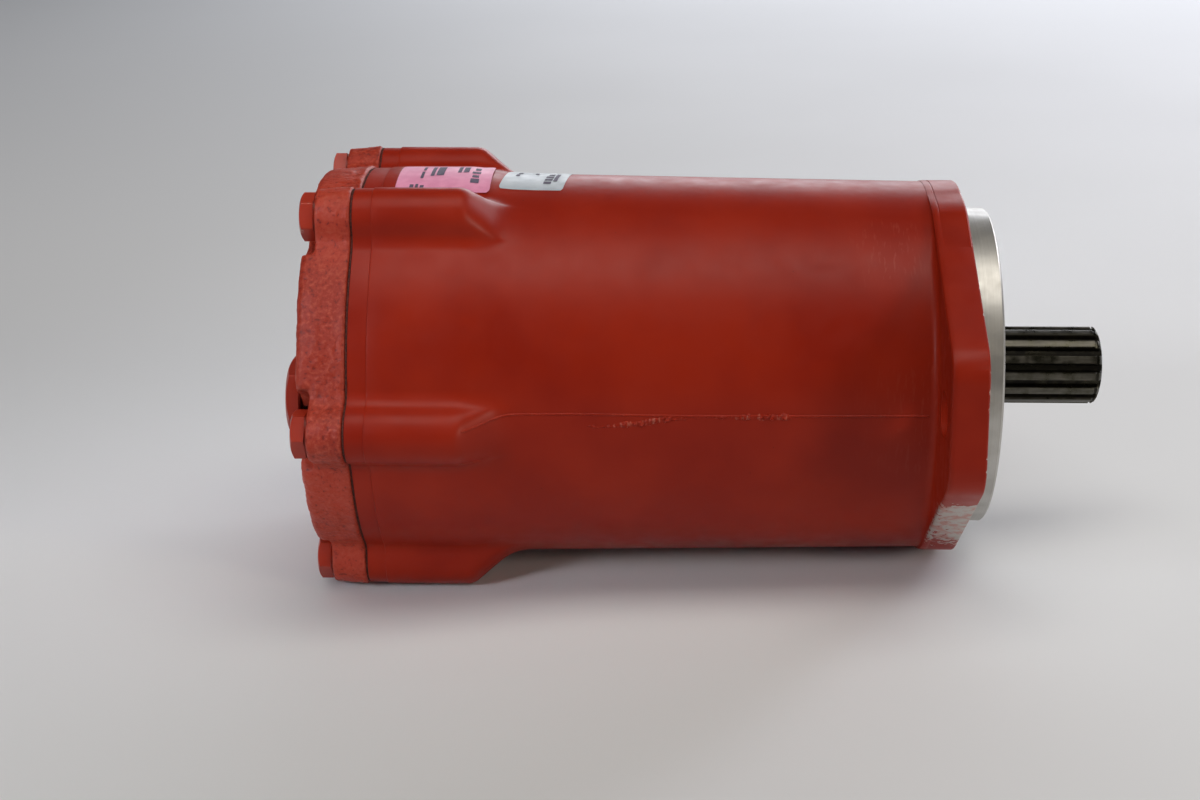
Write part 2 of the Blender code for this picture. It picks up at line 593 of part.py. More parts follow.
def make_slippers_and_pistons(spots):
    """Each slipper turns on the tilted axis through its ball; each piston turns on X through it."""
    lip = -0.0030
    socket_from = math.asin(lip / SOCKET_RADIUS)
    socket = [(SOCKET_RADIUS * math.sin(a), SOCKET_RADIUS * math.cos(a))
              for a in [socket_from + (math.pi / 2 - socket_from) * k / 3 for k in range(3)]]
    foot = RUNNING_OFFSET - GAP
    slipper = [(foot, 0), (foot, 0.0134), (0.0077, 0.0134), (0.0077, 0.0104), (lip, 0.0104)]
    slipper += socket + [(SOCKET_RADIUS, 0)]
    neck = 0.0044
    ball = [(BALL_RADIUS * math.cos(a), BALL_RADIUS * math.sin(a))
            for a in [(math.pi - math.asin(neck / BALL_RADIUS)) * k / 3 for k in range(4)]]
    ball[0] = (BALL_RADIUS, 0)
    piston = ball + [(-0.0095, neck), (-0.0105, PISTON_RADIUS), (-PISTON_LENGTH, PISTON_RADIUS),
                     (-PISTON_LENGTH, 0.0060), (-0.0400, 0)]
    for i, (y, z) in enumerate(spots):
        slipper_axis = axis_empty(f"slipper_axis_{i + 1}", (0, y, z), parent=tilt_axis)
        turned(f"slipper_{i + 1}", slipper, BRONZE, slipper_axis, steps=12)
        piston_axis = axis_empty(f"piston_axis_{i + 1}", (0, 0, 0), -SWASH_ANGLE, parent=slipper_axis)
        turned(f"piston_{i + 1}", piston, STEEL, piston_axis, steps=10)


def make_valve_plate():
    front = BLOCK_REAR_X - PLATE_THICKNESS - 2 * GAP
    rear = front - PLATE_THICKNESS
    plate = ring("valve_plate", front, rear, BLOCK_RADIUS, 0.0170, BRONZE, steps=36)
    for i, side in enumerate((0, math.pi)):
        kidney = kidney_outline(BORE_CIRCLE, 0.0060, side, math.radians(60))
        cut(plate, extruded(f"valve_kidney_{i}", kidney, -0.1950, -0.2200, collection=cutters))
    spot = [polar(0.0530, math.pi / 2)]
    cut(plate, rods("valve_pin_hole", spot, -0.1950, -0.2200, 0.0024, 8))
    rods("valve_plate_pin", spot, front - 0.0010, -0.2190, 0.0019, 8, STEEL, collection=parts)


def make_label(name, x_front, x_rear, radius, centre_angle, half_angle, finish):
    thickness = 0.0002
    start, end = math.radians(centre_angle - half_angle), math.radians(centre_angle + half_angle)
    outline = arc((0, 0), radius + thickness, start, end, 8) + arc((0, 0), radius, end, start, 8)
    extruded(name, outline, x_front, x_rear, finish)


make_housing()
make_rear_cover()
make_gasket()
make_bolts()
make_port_plugs()
make_drain_plug()
make_bearings()
make_seal_and_clip()
make_shaft()
make_block()
make_block_spring()
make_ball_guide()
make_slippers_and_pistons(make_swash_side())
make_valve_plate()
make_label("pink_label", -0.1840, -0.2210, 0.0799, 93.1, 12.9, PINK_PAPER)
make_label("white_label", -0.1530, -0.1810, 0.0791, 89, 12, WHITE_PAPER)
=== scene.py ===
import json
import math

import bmesh
import bpy
from mathutils import Matrix, Vector, noise


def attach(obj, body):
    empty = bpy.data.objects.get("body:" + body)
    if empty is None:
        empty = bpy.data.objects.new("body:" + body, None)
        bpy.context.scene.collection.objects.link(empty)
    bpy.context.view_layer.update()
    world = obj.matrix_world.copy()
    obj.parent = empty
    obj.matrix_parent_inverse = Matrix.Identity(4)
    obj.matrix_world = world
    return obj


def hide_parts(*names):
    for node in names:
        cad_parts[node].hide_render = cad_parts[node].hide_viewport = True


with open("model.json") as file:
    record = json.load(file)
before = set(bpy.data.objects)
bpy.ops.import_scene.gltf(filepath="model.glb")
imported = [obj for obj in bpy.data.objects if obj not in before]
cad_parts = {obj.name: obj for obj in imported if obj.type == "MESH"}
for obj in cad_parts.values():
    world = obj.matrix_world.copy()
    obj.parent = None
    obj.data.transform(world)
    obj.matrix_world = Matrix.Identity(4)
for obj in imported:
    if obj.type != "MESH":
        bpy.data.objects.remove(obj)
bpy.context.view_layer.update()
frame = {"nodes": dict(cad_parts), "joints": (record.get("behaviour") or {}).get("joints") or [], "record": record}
print("frame loaded")

# Everything is modelled in millimetres about the shaft's axis, with x from the mounting face,
# and toPump puts it in its place in the frame.
shaftSpin = next(joint for joint in frame["joints"] if joint["name"] == "shaft_spin")
axisPlace = Vector(shaftSpin["pos_m"])
toPump = Matrix.Translation(axisPlace) @ Matrix.Scale(0.001, 4)
fullTurn = 2 * math.pi
earTurn = math.radians(-6.5)  # the ears are turned this far from the cover bolts
portTurn = math.radians(-3.5)


def linear(code):
    # A hex sRGB colour as the linear values that the shaders take
    parts = [int(code[i:i + 2], 16) / 255 for i in (1, 3, 5)]
    return [p / 12.92 if p <= 0.04045 else ((p + 0.055) / 1.055) ** 2.4 for p in parts] + [1.0]


def addNode(tree, kind, inputs=None, output=0, **settings):
    # Returns one output socket of the new node; sockets given as inputs are linked
    node = tree.nodes.new("ShaderNode" + kind)
    for name, value in settings.items():
        setattr(node, name, value)
    for name, value in (inputs or {}).items():
        if isinstance(value, bpy.types.NodeSocket):
            tree.links.new(value, node.inputs[name])
        else:
            node.inputs[name].default_value = value
    return node.outputs[output]


def startMaterial(name, roughness, metallic=0.0, specular=0.5):
    # Returns the material, its tree and shader, and object coordinates in millimetres from the axis
    material = bpy.data.materials.new(name)
    material.use_nodes = True
    tree = material.node_tree
    shader = tree.nodes["Principled BSDF"]
    shader.inputs["Roughness"].default_value = roughness
    shader.inputs["Metallic"].default_value = metallic
    shader.inputs["Specular IOR Level"].default_value = specular
    place = addNode(tree, "Mapping", {"Vector": addNode(tree, "TexCoord", output="Object"),
                                      "Location": axisPlace * -1000, "Scale": (1000, 1000, 1000)})
    return material, tree, shader, place


def finishMaterial(tree, shader, colour, roughness, layers):
    # Joins the colour and roughness patterns, and stacks height patterns with depths in millimetres
    tree.links.new(colour, shader.inputs["Base Color"])
    tree.links.new(roughness, shader.inputs["Roughness"])
    normal = None
    for height, depth in layers:
        inputs = {"Height": height, "Distance": depth * 0.001, "Strength": 1.0}
        if normal is not None:
            inputs["Normal"] = normal
        normal = addNode(tree, "Bump", inputs)
    if normal is not None:
        tree.links.new(normal, shader.inputs["Normal"])


# Satin red-oxide paint. On the die-cast aluminium barrel it lies smooth, with a faint orange peel;
# on the sand-cast cover the grains of the mould show through it; on fasteners it is thin and chips.
paints = {
    "redPaintOnDieCastAluminium": dict(light="#94240f", dark="#881d0b", satin=0.38, specular=0.17, peel=0.9,
                                       peelDepth=0.010, wave=14, waveDepth=0.12, grit=0.0),
    "redPaintOnSandCastIron": dict(light="#a8351f", dark="#932a16", satin=0.46, specular=0.34, peel=0.7,
                                   peelDepth=0.03, wave=5, waveDepth=0.20, grit=0.34),
    "redPaintOnSteelFasteners": dict(light="#a12e19", dark="#8f2410", satin=0.34, specular=0.40, peel=1.1,
                                     peelDepth=0.02, wave=6, waveDepth=0.05, grit=0.0),
}
# crest and hollow are a painted highlight and painted shade on the grit; speck and scuff are real marks
paintMarks = {"crest": "#ac4531", "hollowShade": "#741c10", "speck": "#4a140e", "scuff": "#b4604f"}
bareUnderPaint = {"colour": "#b9b3ac", "film": "#b98b80", "roughness": 0.42, "chipSize": 2.4}


def redPaint(name):
    look = paints[name]
    material, tree, shader, place = startMaterial(name, look["satin"], specular=look["specular"])
    # 38 mm clouds where the spray lay thinner
    clouds = addNode(tree, "TexNoise", {"Vector": place, "Scale": 1 / 38, "Detail": 3.0})
    clouds = addNode(tree, "MapRange", {"Value": clouds, "From Min": 0.38, "From Max": 0.62})
    colour = addNode(tree, "Mix", {0: clouds, 6: linear(look["light"]), 7: linear(look["dark"])}, 2,
                     data_type="RGBA")
    peel = addNode(tree, "TexNoise", {"Vector": place, "Scale": 1 / look["peel"]})
    wave = addNode(tree, "TexNoise", {"Vector": place, "Scale": 1 / look["wave"]})
    layers = [(wave, look["waveDepth"]), (peel, look["peelDepth"])]
    if look["grit"]:
        # 1.7 mm clumps of sand grains, drawn coarser than real grit so that they show; their crests are painted
        # lighter as a painted highlight and their hollows darker as painted shade
        clumps = addNode(tree, "TexNoise", {"Vector": place, "Scale": 1 / 1.7, "Detail": 4.0,
                                            "Roughness": 0.62})
        layers.append((clumps, look["grit"]))
        paintedCrestHighlight = addNode(tree, "MapRange", {"Value": clumps, "From Min": 0.50, "From Max": 0.68})
        paintedHollowShade = addNode(tree, "MapRange", {"Value": clumps, "From Min": 0.44, "From Max": 0.33})
        colour = addNode(tree, "Mix", {0: paintedCrestHighlight, 6: colour, 7: linear(paintMarks["crest"])}, 2,
                         data_type="RGBA")
        colour = addNode(tree, "Mix", {0: paintedHollowShade, 6: colour, 7: linear(paintMarks["hollowShade"])}, 2,
                         data_type="RGBA")
    # Specks of dust under the paint, half a millimetre across and some 11 mm apart
    specks = addNode(tree, "TexVoronoi", {"Vector": place, "Scale": 1 / 11})
    specks = addNode(tree, "MapRange", {"Value": specks, "From Min": 0.030, "From Max": 0.016,
                                        "To Max": 0.55})
    colour = addNode(tree, "Mix", {0: specks, 6: colour, 7: linear(paintMarks["speck"])}, 2, data_type="RGBA")
    # Handling marks: lighter scratches about 1 mm wide and 6 mm long, which lie round the barrel where
    # the scuff attribute is painted
    stretched = addNode(tree, "Mapping", {"Vector": place, "Scale": (0.9, 0.16, 0.16)})
    scuffs = addNode(tree, "TexNoise", {"Vector": stretched, "Scale": 1.0, "Roughness": 0.6})
    scuffMarks = addNode(tree, "MapRange", {"Value": scuffs, "From Min": 0.56, "From Max": 0.66})
    scuffMask = addNode(tree, "Math", {0: addNode(tree, "Attribute", output="Fac", attribute_name="scuff"),
                                       1: scuffMarks}, operation="MULTIPLY")
    colour = addNode(tree, "Mix", {0: scuffMask, 6: colour, 7: linear(paintMarks["scuff"])}, 2,
                     data_type="RGBA")
    layers.append((scuffs, 0.02))
    # Paint knocked off to metal where the wear attribute and a 2.4 mm chip pattern agree; a thin
    # film of primer is left on the metal in 4 mm patches
    chips = addNode(tree, "TexNoise", {"Vector": place, "Scale": 1 / bareUnderPaint["chipSize"],
                                       "Detail": 4.0, "Roughness": 0.6})
    chips = addNode(tree, "MapRange", {"Value": chips, "From Min": 0.3, "From Max": 0.7, "To Min": -0.45,
                                       "To Max": 0.45})
    worn = addNode(tree, "Attribute", output="Fac", attribute_name="wear")
    bare = addNode(tree, "Math", {0: worn, 1: chips}, operation="ADD")
    bare = addNode(tree, "MapRange", {"Value": bare, "From Min": 0.50, "From Max": 0.58})
    film = addNode(tree, "TexNoise", {"Vector": place, "Scale": 1 / 4, "Detail": 4.0})
    film = addNode(tree, "MapRange", {"Value": film, "From Min": 0.46, "From Max": 0.60})
    metal = addNode(tree, "Mix", {0: film, 6: linear(bareUnderPaint["colour"]),
                                  7: linear(bareUnderPaint["film"])}, 2, data_type="RGBA")
    colour = addNode(tree, "Mix", {0: bare, 6: colour, 7: metal}, 2, data_type="RGBA")
    tree.links.new(bare, shader.inputs["Metallic"])
    patchy = addNode(tree, "TexNoise", {"Vector": place, "Scale": 1 / 7, "Detail": 3.0})
    satin = addNode(tree, "MapRange", {"Value": patchy, "From Min": 0.3, "From Max": 0.7,
                                       "To Min": look["satin"] - 0.05, "To Max": look["satin"] + 0.07})
    roughness = addNode(tree, "Mix", {0: bare, 2: satin, 3: bareUnderPaint["roughness"]})
    finishMaterial(tree, shader, colour, roughness, layers)
    return material


# Machined metals, most of them turned: fine rings round the axis, bumped and painted in darker bands as a painted
# reflection of how they catch the light
metals = {
    "turnedAluminium": dict(colour="#c4c2bd", stainAndRingReflection="#aba8a2", roughness=0.42, rings=0.45, ringDepth=0.006),
    "groundBearingSteel": dict(colour="#b9b6b0", stainAndRingReflection="#8f8b84", roughness=0.24, rings=0.35,
                               ringDepth=0.002),
    "machinedGreyIron": dict(colour="#6f6d69", stainAndRingReflection="#504d49", roughness=0.42, rings=0.60, ringDepth=0.008),
    "turnedBronze": dict(colour="#b98b4a", stainAndRingReflection="#8a6331", roughness=0.30, rings=0.40, ringDepth=0.004),
    "springSteel": dict(colour="#54504a", stainAndRingReflection="#322f2b", roughness=0.38, rings=0.30, ringDepth=0.003),
}


def turnedMetal(name):
    look = metals[name]
    material, tree, shader, place = startMaterial(name, look["roughness"], 1.0)
    split = addNode(tree, "SeparateXYZ", {"Vector": place}).node.outputs
    flat = addNode(tree, "CombineXYZ", {"X": split["Y"], "Y": split["Z"]})
    fromAxis = addNode(tree, "VectorMath", {0: flat}, "Value", operation="LENGTH")
    # x + radius changes along a turned face and along a turned side alike
    along = addNode(tree, "Math", {0: split["X"], 1: fromAxis}, operation="ADD")
    lathe = addNode(tree, "CombineXYZ", {"X": along})
    rings = addNode(tree, "TexNoise", {"Vector": lathe, "Scale": 1 / look["rings"]})
    patches = addNode(tree, "TexNoise", {"Vector": place, "Scale": 1 / 9, "Detail": 3.0})
    # Painted reflection: darker bands along the rings; the 9 mm patches are real stains
    paintedRingReflection = addNode(tree, "MapRange", {"Value": rings, "From Min": 0.35, "From Max": 0.65,
                                           "To Max": 0.5})
    patchStain = addNode(tree, "MapRange", {"Value": patches, "From Min": 0.40, "From Max": 0.75,
                                            "To Max": 0.6})
    stainAndRingReflection = addNode(tree, "Math", {0: paintedRingReflection, 1: patchStain}, operation="ADD")
    colour = addNode(tree, "Mix", {0: stainAndRingReflection, 6: linear(look["colour"]), 7: linear(look["stainAndRingReflection"])}, 2,
                     data_type="RGBA")
    roughness = addNode(tree, "MapRange", {"Value": patches, "From Min": 0.3, "From Max": 0.7,
                                           "To Min": look["roughness"] - 0.05,
                                           "To Max": look["roughness"] + 0.10})
    fine = addNode(tree, "TexNoise", {"Vector": place, "Scale": 1 / 0.8})
    finishMaterial(tree, shader, colour, roughness, [(rings, look["ringDepth"]), (fine, 0.002)])
    return material


# The colours below the tooth tips are painted shade for the spline's grooves
splineLook = {"crest": "#5f5c54", "crestDark": "#47453e", "crestOil": "#3c3a2e", "paintedGrooveShade": "#15130f",
              "oiledGrooveShade": "#2d2a20", "roughness": 0.34, "groundFrom": 14.6, "groundTo": 15.3}


def oiledSplineSteel():
    # Hobbed steel in a film of preserving oil: tooth tips ground grey; below them the flanks and grooves are
    # painted nearly black as painted shade
    look = splineLook
    material, tree, shader, place = startMaterial("oiledSplineSteel", look["roughness"], 0.85)
    split = addNode(tree, "SeparateXYZ", {"Vector": place}).node.outputs
    flat = addNode(tree, "CombineXYZ", {"X": split["Y"], "Y": split["Z"]})
    fromAxis = addNode(tree, "VectorMath", {0: flat}, "Value", operation="LENGTH")
    ground = addNode(tree, "MapRange", {"Value": fromAxis, "From Min": look["groundFrom"],
                                        "From Max": look["groundTo"]})
    # 1.4 mm noise drawn out into lines along the teeth
    stretched = addNode(tree, "Mapping", {"Vector": place, "Scale": (0.12, 1.0, 1.0)})
    drawn = addNode(tree, "TexNoise", {"Vector": stretched, "Scale": 1 / 1.4, "Detail": 3.0,
                                       "Roughness": 0.6})
    oil = addNode(tree, "TexNoise", {"Vector": place, "Scale": 1 / 5, "Detail": 3.0})
    oil = addNode(tree, "MapRange", {"Value": oil, "From Min": 0.42, "From Max": 0.66})
    lines = addNode(tree, "MapRange", {"Value": drawn, "From Min": 0.35, "From Max": 0.7})
    crest = addNode(tree, "Mix", {0: lines, 6: linear(look["crest"]), 7: linear(look["crestDark"])}, 2,
                    data_type="RGBA")
    crest = addNode(tree, "Mix", {0: oil, 6: crest, 7: linear(look["crestOil"])}, 2, data_type="RGBA")
    paintedGrooveShade = addNode(tree, "Mix", {0: oil, 6: linear(look["paintedGrooveShade"]), 7: linear(look["oiledGrooveShade"])}, 2,
                    data_type="RGBA")
    colour = addNode(tree, "Mix", {0: ground, 6: paintedGrooveShade, 7: crest}, 2, data_type="RGBA")
    roughness = addNode(tree, "MapRange", {"Value": oil, "To Min": 0.42, "To Max": 0.24})
    fine = addNode(tree, "TexNoise", {"Vector": place, "Scale": 1 / 0.6})
    finishMaterial(tree, shader, colour, roughness, [(drawn, 0.012), (fine, 0.004)])
    return material


plainLooks = {
    "mouldedNitrileRubber": dict(colour="#141414", other="#232221", size=2.0, roughness=0.62, depth=0.02),
    "gasketFibreSheet": dict(colour="#5a2117", other="#2c120e", size=0.9, roughness=0.90, depth=0.05),
    "pinkCoatedLabel": dict(colour="#e295b3", other="#d98aa9", size=6.0, roughness=0.42, depth=0.02),
    "whiteCoatedLabel": dict(colour="#b2babf", other="#a8b1b7", size=6.0, roughness=0.40, depth=0.02),
    "printedInk": dict(colour="#4a4356", other="#5c5568", size=0.7, roughness=0.60, depth=0.0),
    "paleStudioFloor": dict(colour="#dcdee0", other="#dbdddf", size=400.0, roughness=0.70, depth=0.0),
}


def plainSheet(name):
    # An even sheet whose colour drifts a little over the size given in millimetres
    look = plainLooks[name]
    material, tree, shader, place = startMaterial(name, look["roughness"])
    mottle = addNode(tree, "TexNoise", {"Vector": place, "Scale": 1 / look["size"], "Detail": 4.0})
    share = addNode(tree, "MapRange", {"Value": mottle, "From Min": 0.4, "From Max": 0.6})
    colour = addNode(tree, "Mix", {0: share, 6: linear(look["colour"]), 7: linear(look["other"])}, 2,
                     data_type="RGBA")
    roughness = addNode(tree, "MapRange", {"Value": mottle, "From Min": 0.3, "From Max": 0.7,
                                           "To Min": look["roughness"] - 0.05,
                                           "To Max": look["roughness"] + 0.05})
    layers = []
    if look["depth"]:
        fibres = addNode(tree, "TexNoise", {"Vector": place, "Scale": 2.5 / look["size"], "Detail": 3.0})
        layers.append((fibres, look["depth"]))
    finishMaterial(tree, shader, colour, roughness, layers)
    return material


finishes = {name: redPaint(name) for name in paints}
finishes.update({name: turnedMetal(name) for name in metals})
finishes.update({name: plainSheet(name) for name in plainLooks})
finishes["oiledSplineSteel"] = oiledSplineSteel()
castPaint = finishes["redPaintOnDieCastAluminium"]
coverPaint = finishes["redPaintOnSandCastIron"]
fastenerPaint = finishes["redPaintOnSteelFasteners"]
bareAluminium = finishes["turnedAluminium"]
print("materials ready")


def reach(value, angle):
    # A station's x or radius may be a number or a function of the angle
    return value(angle) if callable(value) else value


def loftRound(angles, stations, bridged=False):
    # A circle extruded from station to station. A station is (x, radius, material index), and x and
    # radius may be functions of the angle. The two ends are bridged to each other, or capped.
    shape = bmesh.new()
    angleOf = shape.verts.layers.float.new("angle")
    verts = bmesh.ops.create_circle(shape, segments=len(angles), radius=1)["verts"]
    for vert, angle in zip(verts, angles):
        vert[angleOf] = angle
    firstRing = ring = shape.edges[:]
    for step, (x, radius, finish) in enumerate(stations):
        if step:
            grown = bmesh.ops.extrude_edge_only(shape, edges=ring)["geom"]
            verts = [part for part in grown if isinstance(part, bmesh.types.BMVert)]
            new = set(verts)
            ring = [part for part in grown
                    if isinstance(part, bmesh.types.BMEdge) and new.issuperset(part.verts)]
            for part in grown:
                if isinstance(part, bmesh.types.BMFace):
                    part.material_index = finish
        for vert in verts:
            angle = vert[angleOf]
            away = reach(radius, angle)
            vert.co = (reach(x, angle), away * math.cos(angle), away * math.sin(angle))
    if bridged:
        closing = bmesh.ops.bridge_loops(shape, edges=firstRing + ring)["faces"]
    else:
        closing = bmesh.ops.edgeloop_fill(shape, edges=firstRing)["faces"]
        closing += bmesh.ops.edgeloop_fill(shape, edges=ring)["faces"]
    for face in closing:
        face.material_index = stations[-1][2]
    shape.verts.layers.float.remove(angleOf)
    bmesh.ops.recalc_face_normals(shape, faces=shape.faces)
    return shape


def evenAngles(count):
    return [fullTurn * i / count for i in range(count)]


def spunPiece(profile, steps=96, finish=0):
    # A closed profile of (x, radius) points spun about the axis
    shape = bmesh.new()
    verts = [shape.verts.new((x, radius, 0)) for x, radius in profile]
    edges = [shape.edges.new((verts[i], verts[(i + 1) % len(verts)])) for i in range(len(verts))]
    bmesh.ops.spin(shape, geom=verts + edges, axis=(1, 0, 0), cent=(0, 0, 0), angle=fullTurn,
                   steps=steps, use_merge=True)
    bmesh.ops.remove_doubles(shape, verts=shape.verts, dist=0.001)
    bmesh.ops.recalc_face_normals(shape, faces=shape.faces)
    for face in shape.faces:
        face.material_index = finish
    return shape


def addBar(shape, xLow, xHigh, radius, centre=(0, 0), sides=48, radiusLow=None):
    # A round bar along x, for holes and bosses
    lying = Matrix.Translation(((xLow + xHigh) / 2, *centre)) @ Matrix.Rotation(math.pi / 2, 4, "Y")
    bmesh.ops.create_cone(shape, cap_ends=True, segments=sides, radius1=radiusLow or radius,
                          radius2=radius, depth=xHigh - xLow, matrix=lying)


def scratchObject(name, shape, materials):
    mesh = bpy.data.meshes.new(name)
    shape.to_mesh(mesh)
    shape.free()
    for material in materials:
        mesh.materials.append(material)
    piece = bpy.data.objects.new(name, mesh)
    bpy.context.scene.collection.objects.link(piece)
    return piece


def evaluated(piece):
    # The piece with its modifiers worked in, as a fresh bmesh; the piece itself is thrown away
    depsgraph = bpy.context.evaluated_depsgraph_get()
    depsgraph.update()
    shape = bmesh.new()
    mesh = piece.evaluated_get(depsgraph).to_mesh()
    shape.from_mesh(mesh)
    bpy.data.objects.remove(piece, do_unlink=True)
    return shape


def carve(shape, tools, materials):
    # Cuts or joins each (operation, tool) in turn, with exact booleans
    piece = scratchObject("carving", shape, materials)
    helpers = []
    for operation, tool in tools:
        helper = scratchObject("tool", tool, materials)
        helpers.append(helper)
        boolean = piece.modifiers.new(operation, "BOOLEAN")
        boolean.operation = operation
        boolean.solver = "EXACT"
        boolean.object = helper
    result = evaluated(piece)
    for helper in helpers:
        bpy.data.objects.remove(helper, do_unlink=True)
    return result


def paintOn(shape, name, amount):
    # A painted attribute: amount is a function of the place in millimetres
    layer = shape.verts.layers.float.get(name) or shape.verts.layers.float.new(name)
    for vert in shape.verts:
        vert[layer] = amount(vert.co)


def settle(name, shape, materials, body, stands=(), sharpest=32):
    # Turns a bmesh in millimetres into a finished piece that rides on its body
    bmesh.ops.transform(shape, matrix=toPump, verts=shape.verts)
    for face in shape.faces:
        face.smooth = True
    for edge in shape.edges:
        if len(edge.link_faces) == 2:
            edge.smooth = edge.calc_face_angle() < math.radians(sharpest)
    piece = scratchObject(name, shape, materials)
    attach(piece, body)
    if stands:
        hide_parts(*stands)
    print(name, "made,", len(piece.data.polygons), "faces")
    return piece


def smoothStep(value, low, high):
    share = min(max((value - low) / (high - low), 0), 1)
    return share * share * (3 - 2 * share)


def turnOf(co):
    # Degrees round the axis, from 0 to 360
    return math.degrees(math.atan2(co.z, co.y)) % 360


# Casing: one skin from the seal's recess over the pilot, the flange, the barrel and its six bolt
# lobes, to the joint face and back through the cavity
casing = {
    "bodyFront": 74.2, "bodyRear": 76.9, "bodyRearX": -171, "flangeRadius": 74.6, "earShoulder": 77.0,
    "earFade": 18, "cornerU": 94.2, "cornerV": 15.0, "cornerRadius": 14.5, "thickness": 13.5,
    "earFillet": 3.2, "holeAt": 90.5, "holeRadius": 8.75, "pilotRadius": 63.5, "pilotHeight": 12.7,
    "shaftHole": 20.5, "sealSeat": 26.2, "clipGroove": 27.6, "bearingSeat": 36.2, "frontWallX": -30,
    "jointX": -233.5, "bandX": -226.3, "bandDepth": 0.45, "lobeBase": 79.5, "boltCircle": 80.2,
    "boltHole": 6.1, "lobeRadius": 11.3, "lobeFillet": 8.0,
    "lobes": [0.0, 60.0, 118.6, 181.9, 240.0, 300.0], "lobesFull": -194.5,
    "noseRadius": 7.0, "noseSlope": 42, "rootRadius": 19.0, "cavityRadius": 66.0, "drainX": -130,
}


def lobedRadius(angle, inset=0.0):
    # A base circle, a round lobe at each of the six bolts, and a fillet tangent to both
    away = min(abs((angle - math.radians(lobe) + math.pi) % fullTurn - math.pi)
               for lobe in casing["lobes"])
    circle, fillet = casing["boltCircle"], casing["lobeFillet"]
    base, lobe = casing["lobeBase"] - inset, casing["lobeRadius"] - inset
    toFillet, between = base + fillet, lobe + fillet
    filletAngle = math.acos((circle ** 2 + toFillet ** 2 - between ** 2) / (2 * circle * toFillet))
    touchY = circle + (toFillet * math.cos(filletAngle) - circle) * lobe / between
    touchZ = toFillet * math.sin(filletAngle) * lobe / between
    if away >= filletAngle:
        return base
    if away >= math.atan2(touchZ, touchY):
        side = toFillet * math.sin(filletAngle - away)
        return toFillet * math.cos(filletAngle - away) - math.sqrt(max(fillet ** 2 - side ** 2, 0))
    side = circle * math.sin(away)
    return circle * math.cos(away) + math.sqrt(max(lobe ** 2 - side ** 2, 0))


def boltPlaces(radius):
    turns = [math.radians(lobe) for lobe in casing["lobes"]]
    return [(radius * math.cos(turn), radius * math.sin(turn)) for turn in turns]


def flangeRadius(angle):
    # The round middle, and two ears whose straight edges fade into it
    away = abs((angle - earTurn + math.pi / 2) % math.pi - math.pi / 2)
    u, v = casing["cornerU"], casing["cornerV"]
    corner, shoulder, middle = casing["cornerRadius"], casing["earShoulder"], casing["flangeRadius"]
    normal = math.atan2(v, u) + math.acos((shoulder - corner) / math.hypot(u, v))
    if away >= normal:
        faded = smoothStep(away, normal, normal + math.radians(casing["earFade"]))
        return shoulder + (middle - shoulder) * faded
    if away >= math.atan2(v + corner * math.sin(normal), u + corner * math.cos(normal)):
        return shoulder / math.cos(normal - away)
    if away <= math.atan2(v, u + corner):
        return (u + corner) / math.cos(away)
    turn = math.atan2(v, u) - away
    distance = math.hypot(u, v)
    return distance * math.cos(turn) + math.sqrt(max(corner ** 2 - (distance * math.sin(turn)) ** 2, 0))


def bodyRadius(x):
    # The barrel widens evenly from the flange's back towards the lobes
    start = -casing["thickness"]
    share = min(max((x - start) / (casing["bodyRearX"] - start), 0), 1)
    return casing["bodyFront"] + (casing["bodyRear"] - casing["bodyFront"]) * share


def lobeShare(x):
    # 1 where the lobes stand in full, falling over a rounded nose, a slope and a root to 0
    along = x - casing["lobesFull"]
    slope = math.radians(casing["noseSlope"])
    nose, root = casing["noseRadius"], casing["rootRadius"]
    height = casing["boltCircle"] + casing["lobeRadius"] - casing["bodyRear"]
    noseLong, rootLong = nose * math.sin(slope), root * math.sin(slope)
    noseDrop, rootDrop = nose * (1 - math.cos(slope)), root * (1 - math.cos(slope))
    straight = (height - noseDrop - rootDrop) / math.tan(slope)
    end = noseLong + straight + rootLong
    if along <= 0:
        return 1.0
    if along >= end:
        return 0.0
    if along < noseLong:
        drop = nose - math.sqrt(nose ** 2 - along ** 2)
    elif along < noseLong + straight:
        drop = noseDrop + (along - noseLong) * math.tan(slope)
    else:
        drop = height - root + math.sqrt(root ** 2 - (end - along) ** 2)
    return 1 - drop / height


def casingRadius(x, inset=0.0):
    body, share = bodyRadius(x), lobeShare(x)
    return lambda angle: body + (lobedRadius(angle) - body) * share - inset


def earShare(angle):
    return smoothStep(flangeRadius(angle) - casing["flangeRadius"], 0.2, 5)


def casingAngles():
    # One turn from -30 degrees, closest together where a lobe's side or an ear's corner turns fastest
    angles, angle = [], -30.0
    while angle < 329.6:
        angles.append(math.radians(angle))
        fromLobe = min(abs((angle - lobe + 180) % 360 - 180) for lobe in casing["lobes"])
        fromEar = abs((angle - math.degrees(earTurn) + 90) % 180 - 90)
        angle += 0.45 if 3 < fromLobe < 14.5 or 7 < fromEar < 17 else 1.0
    return angles


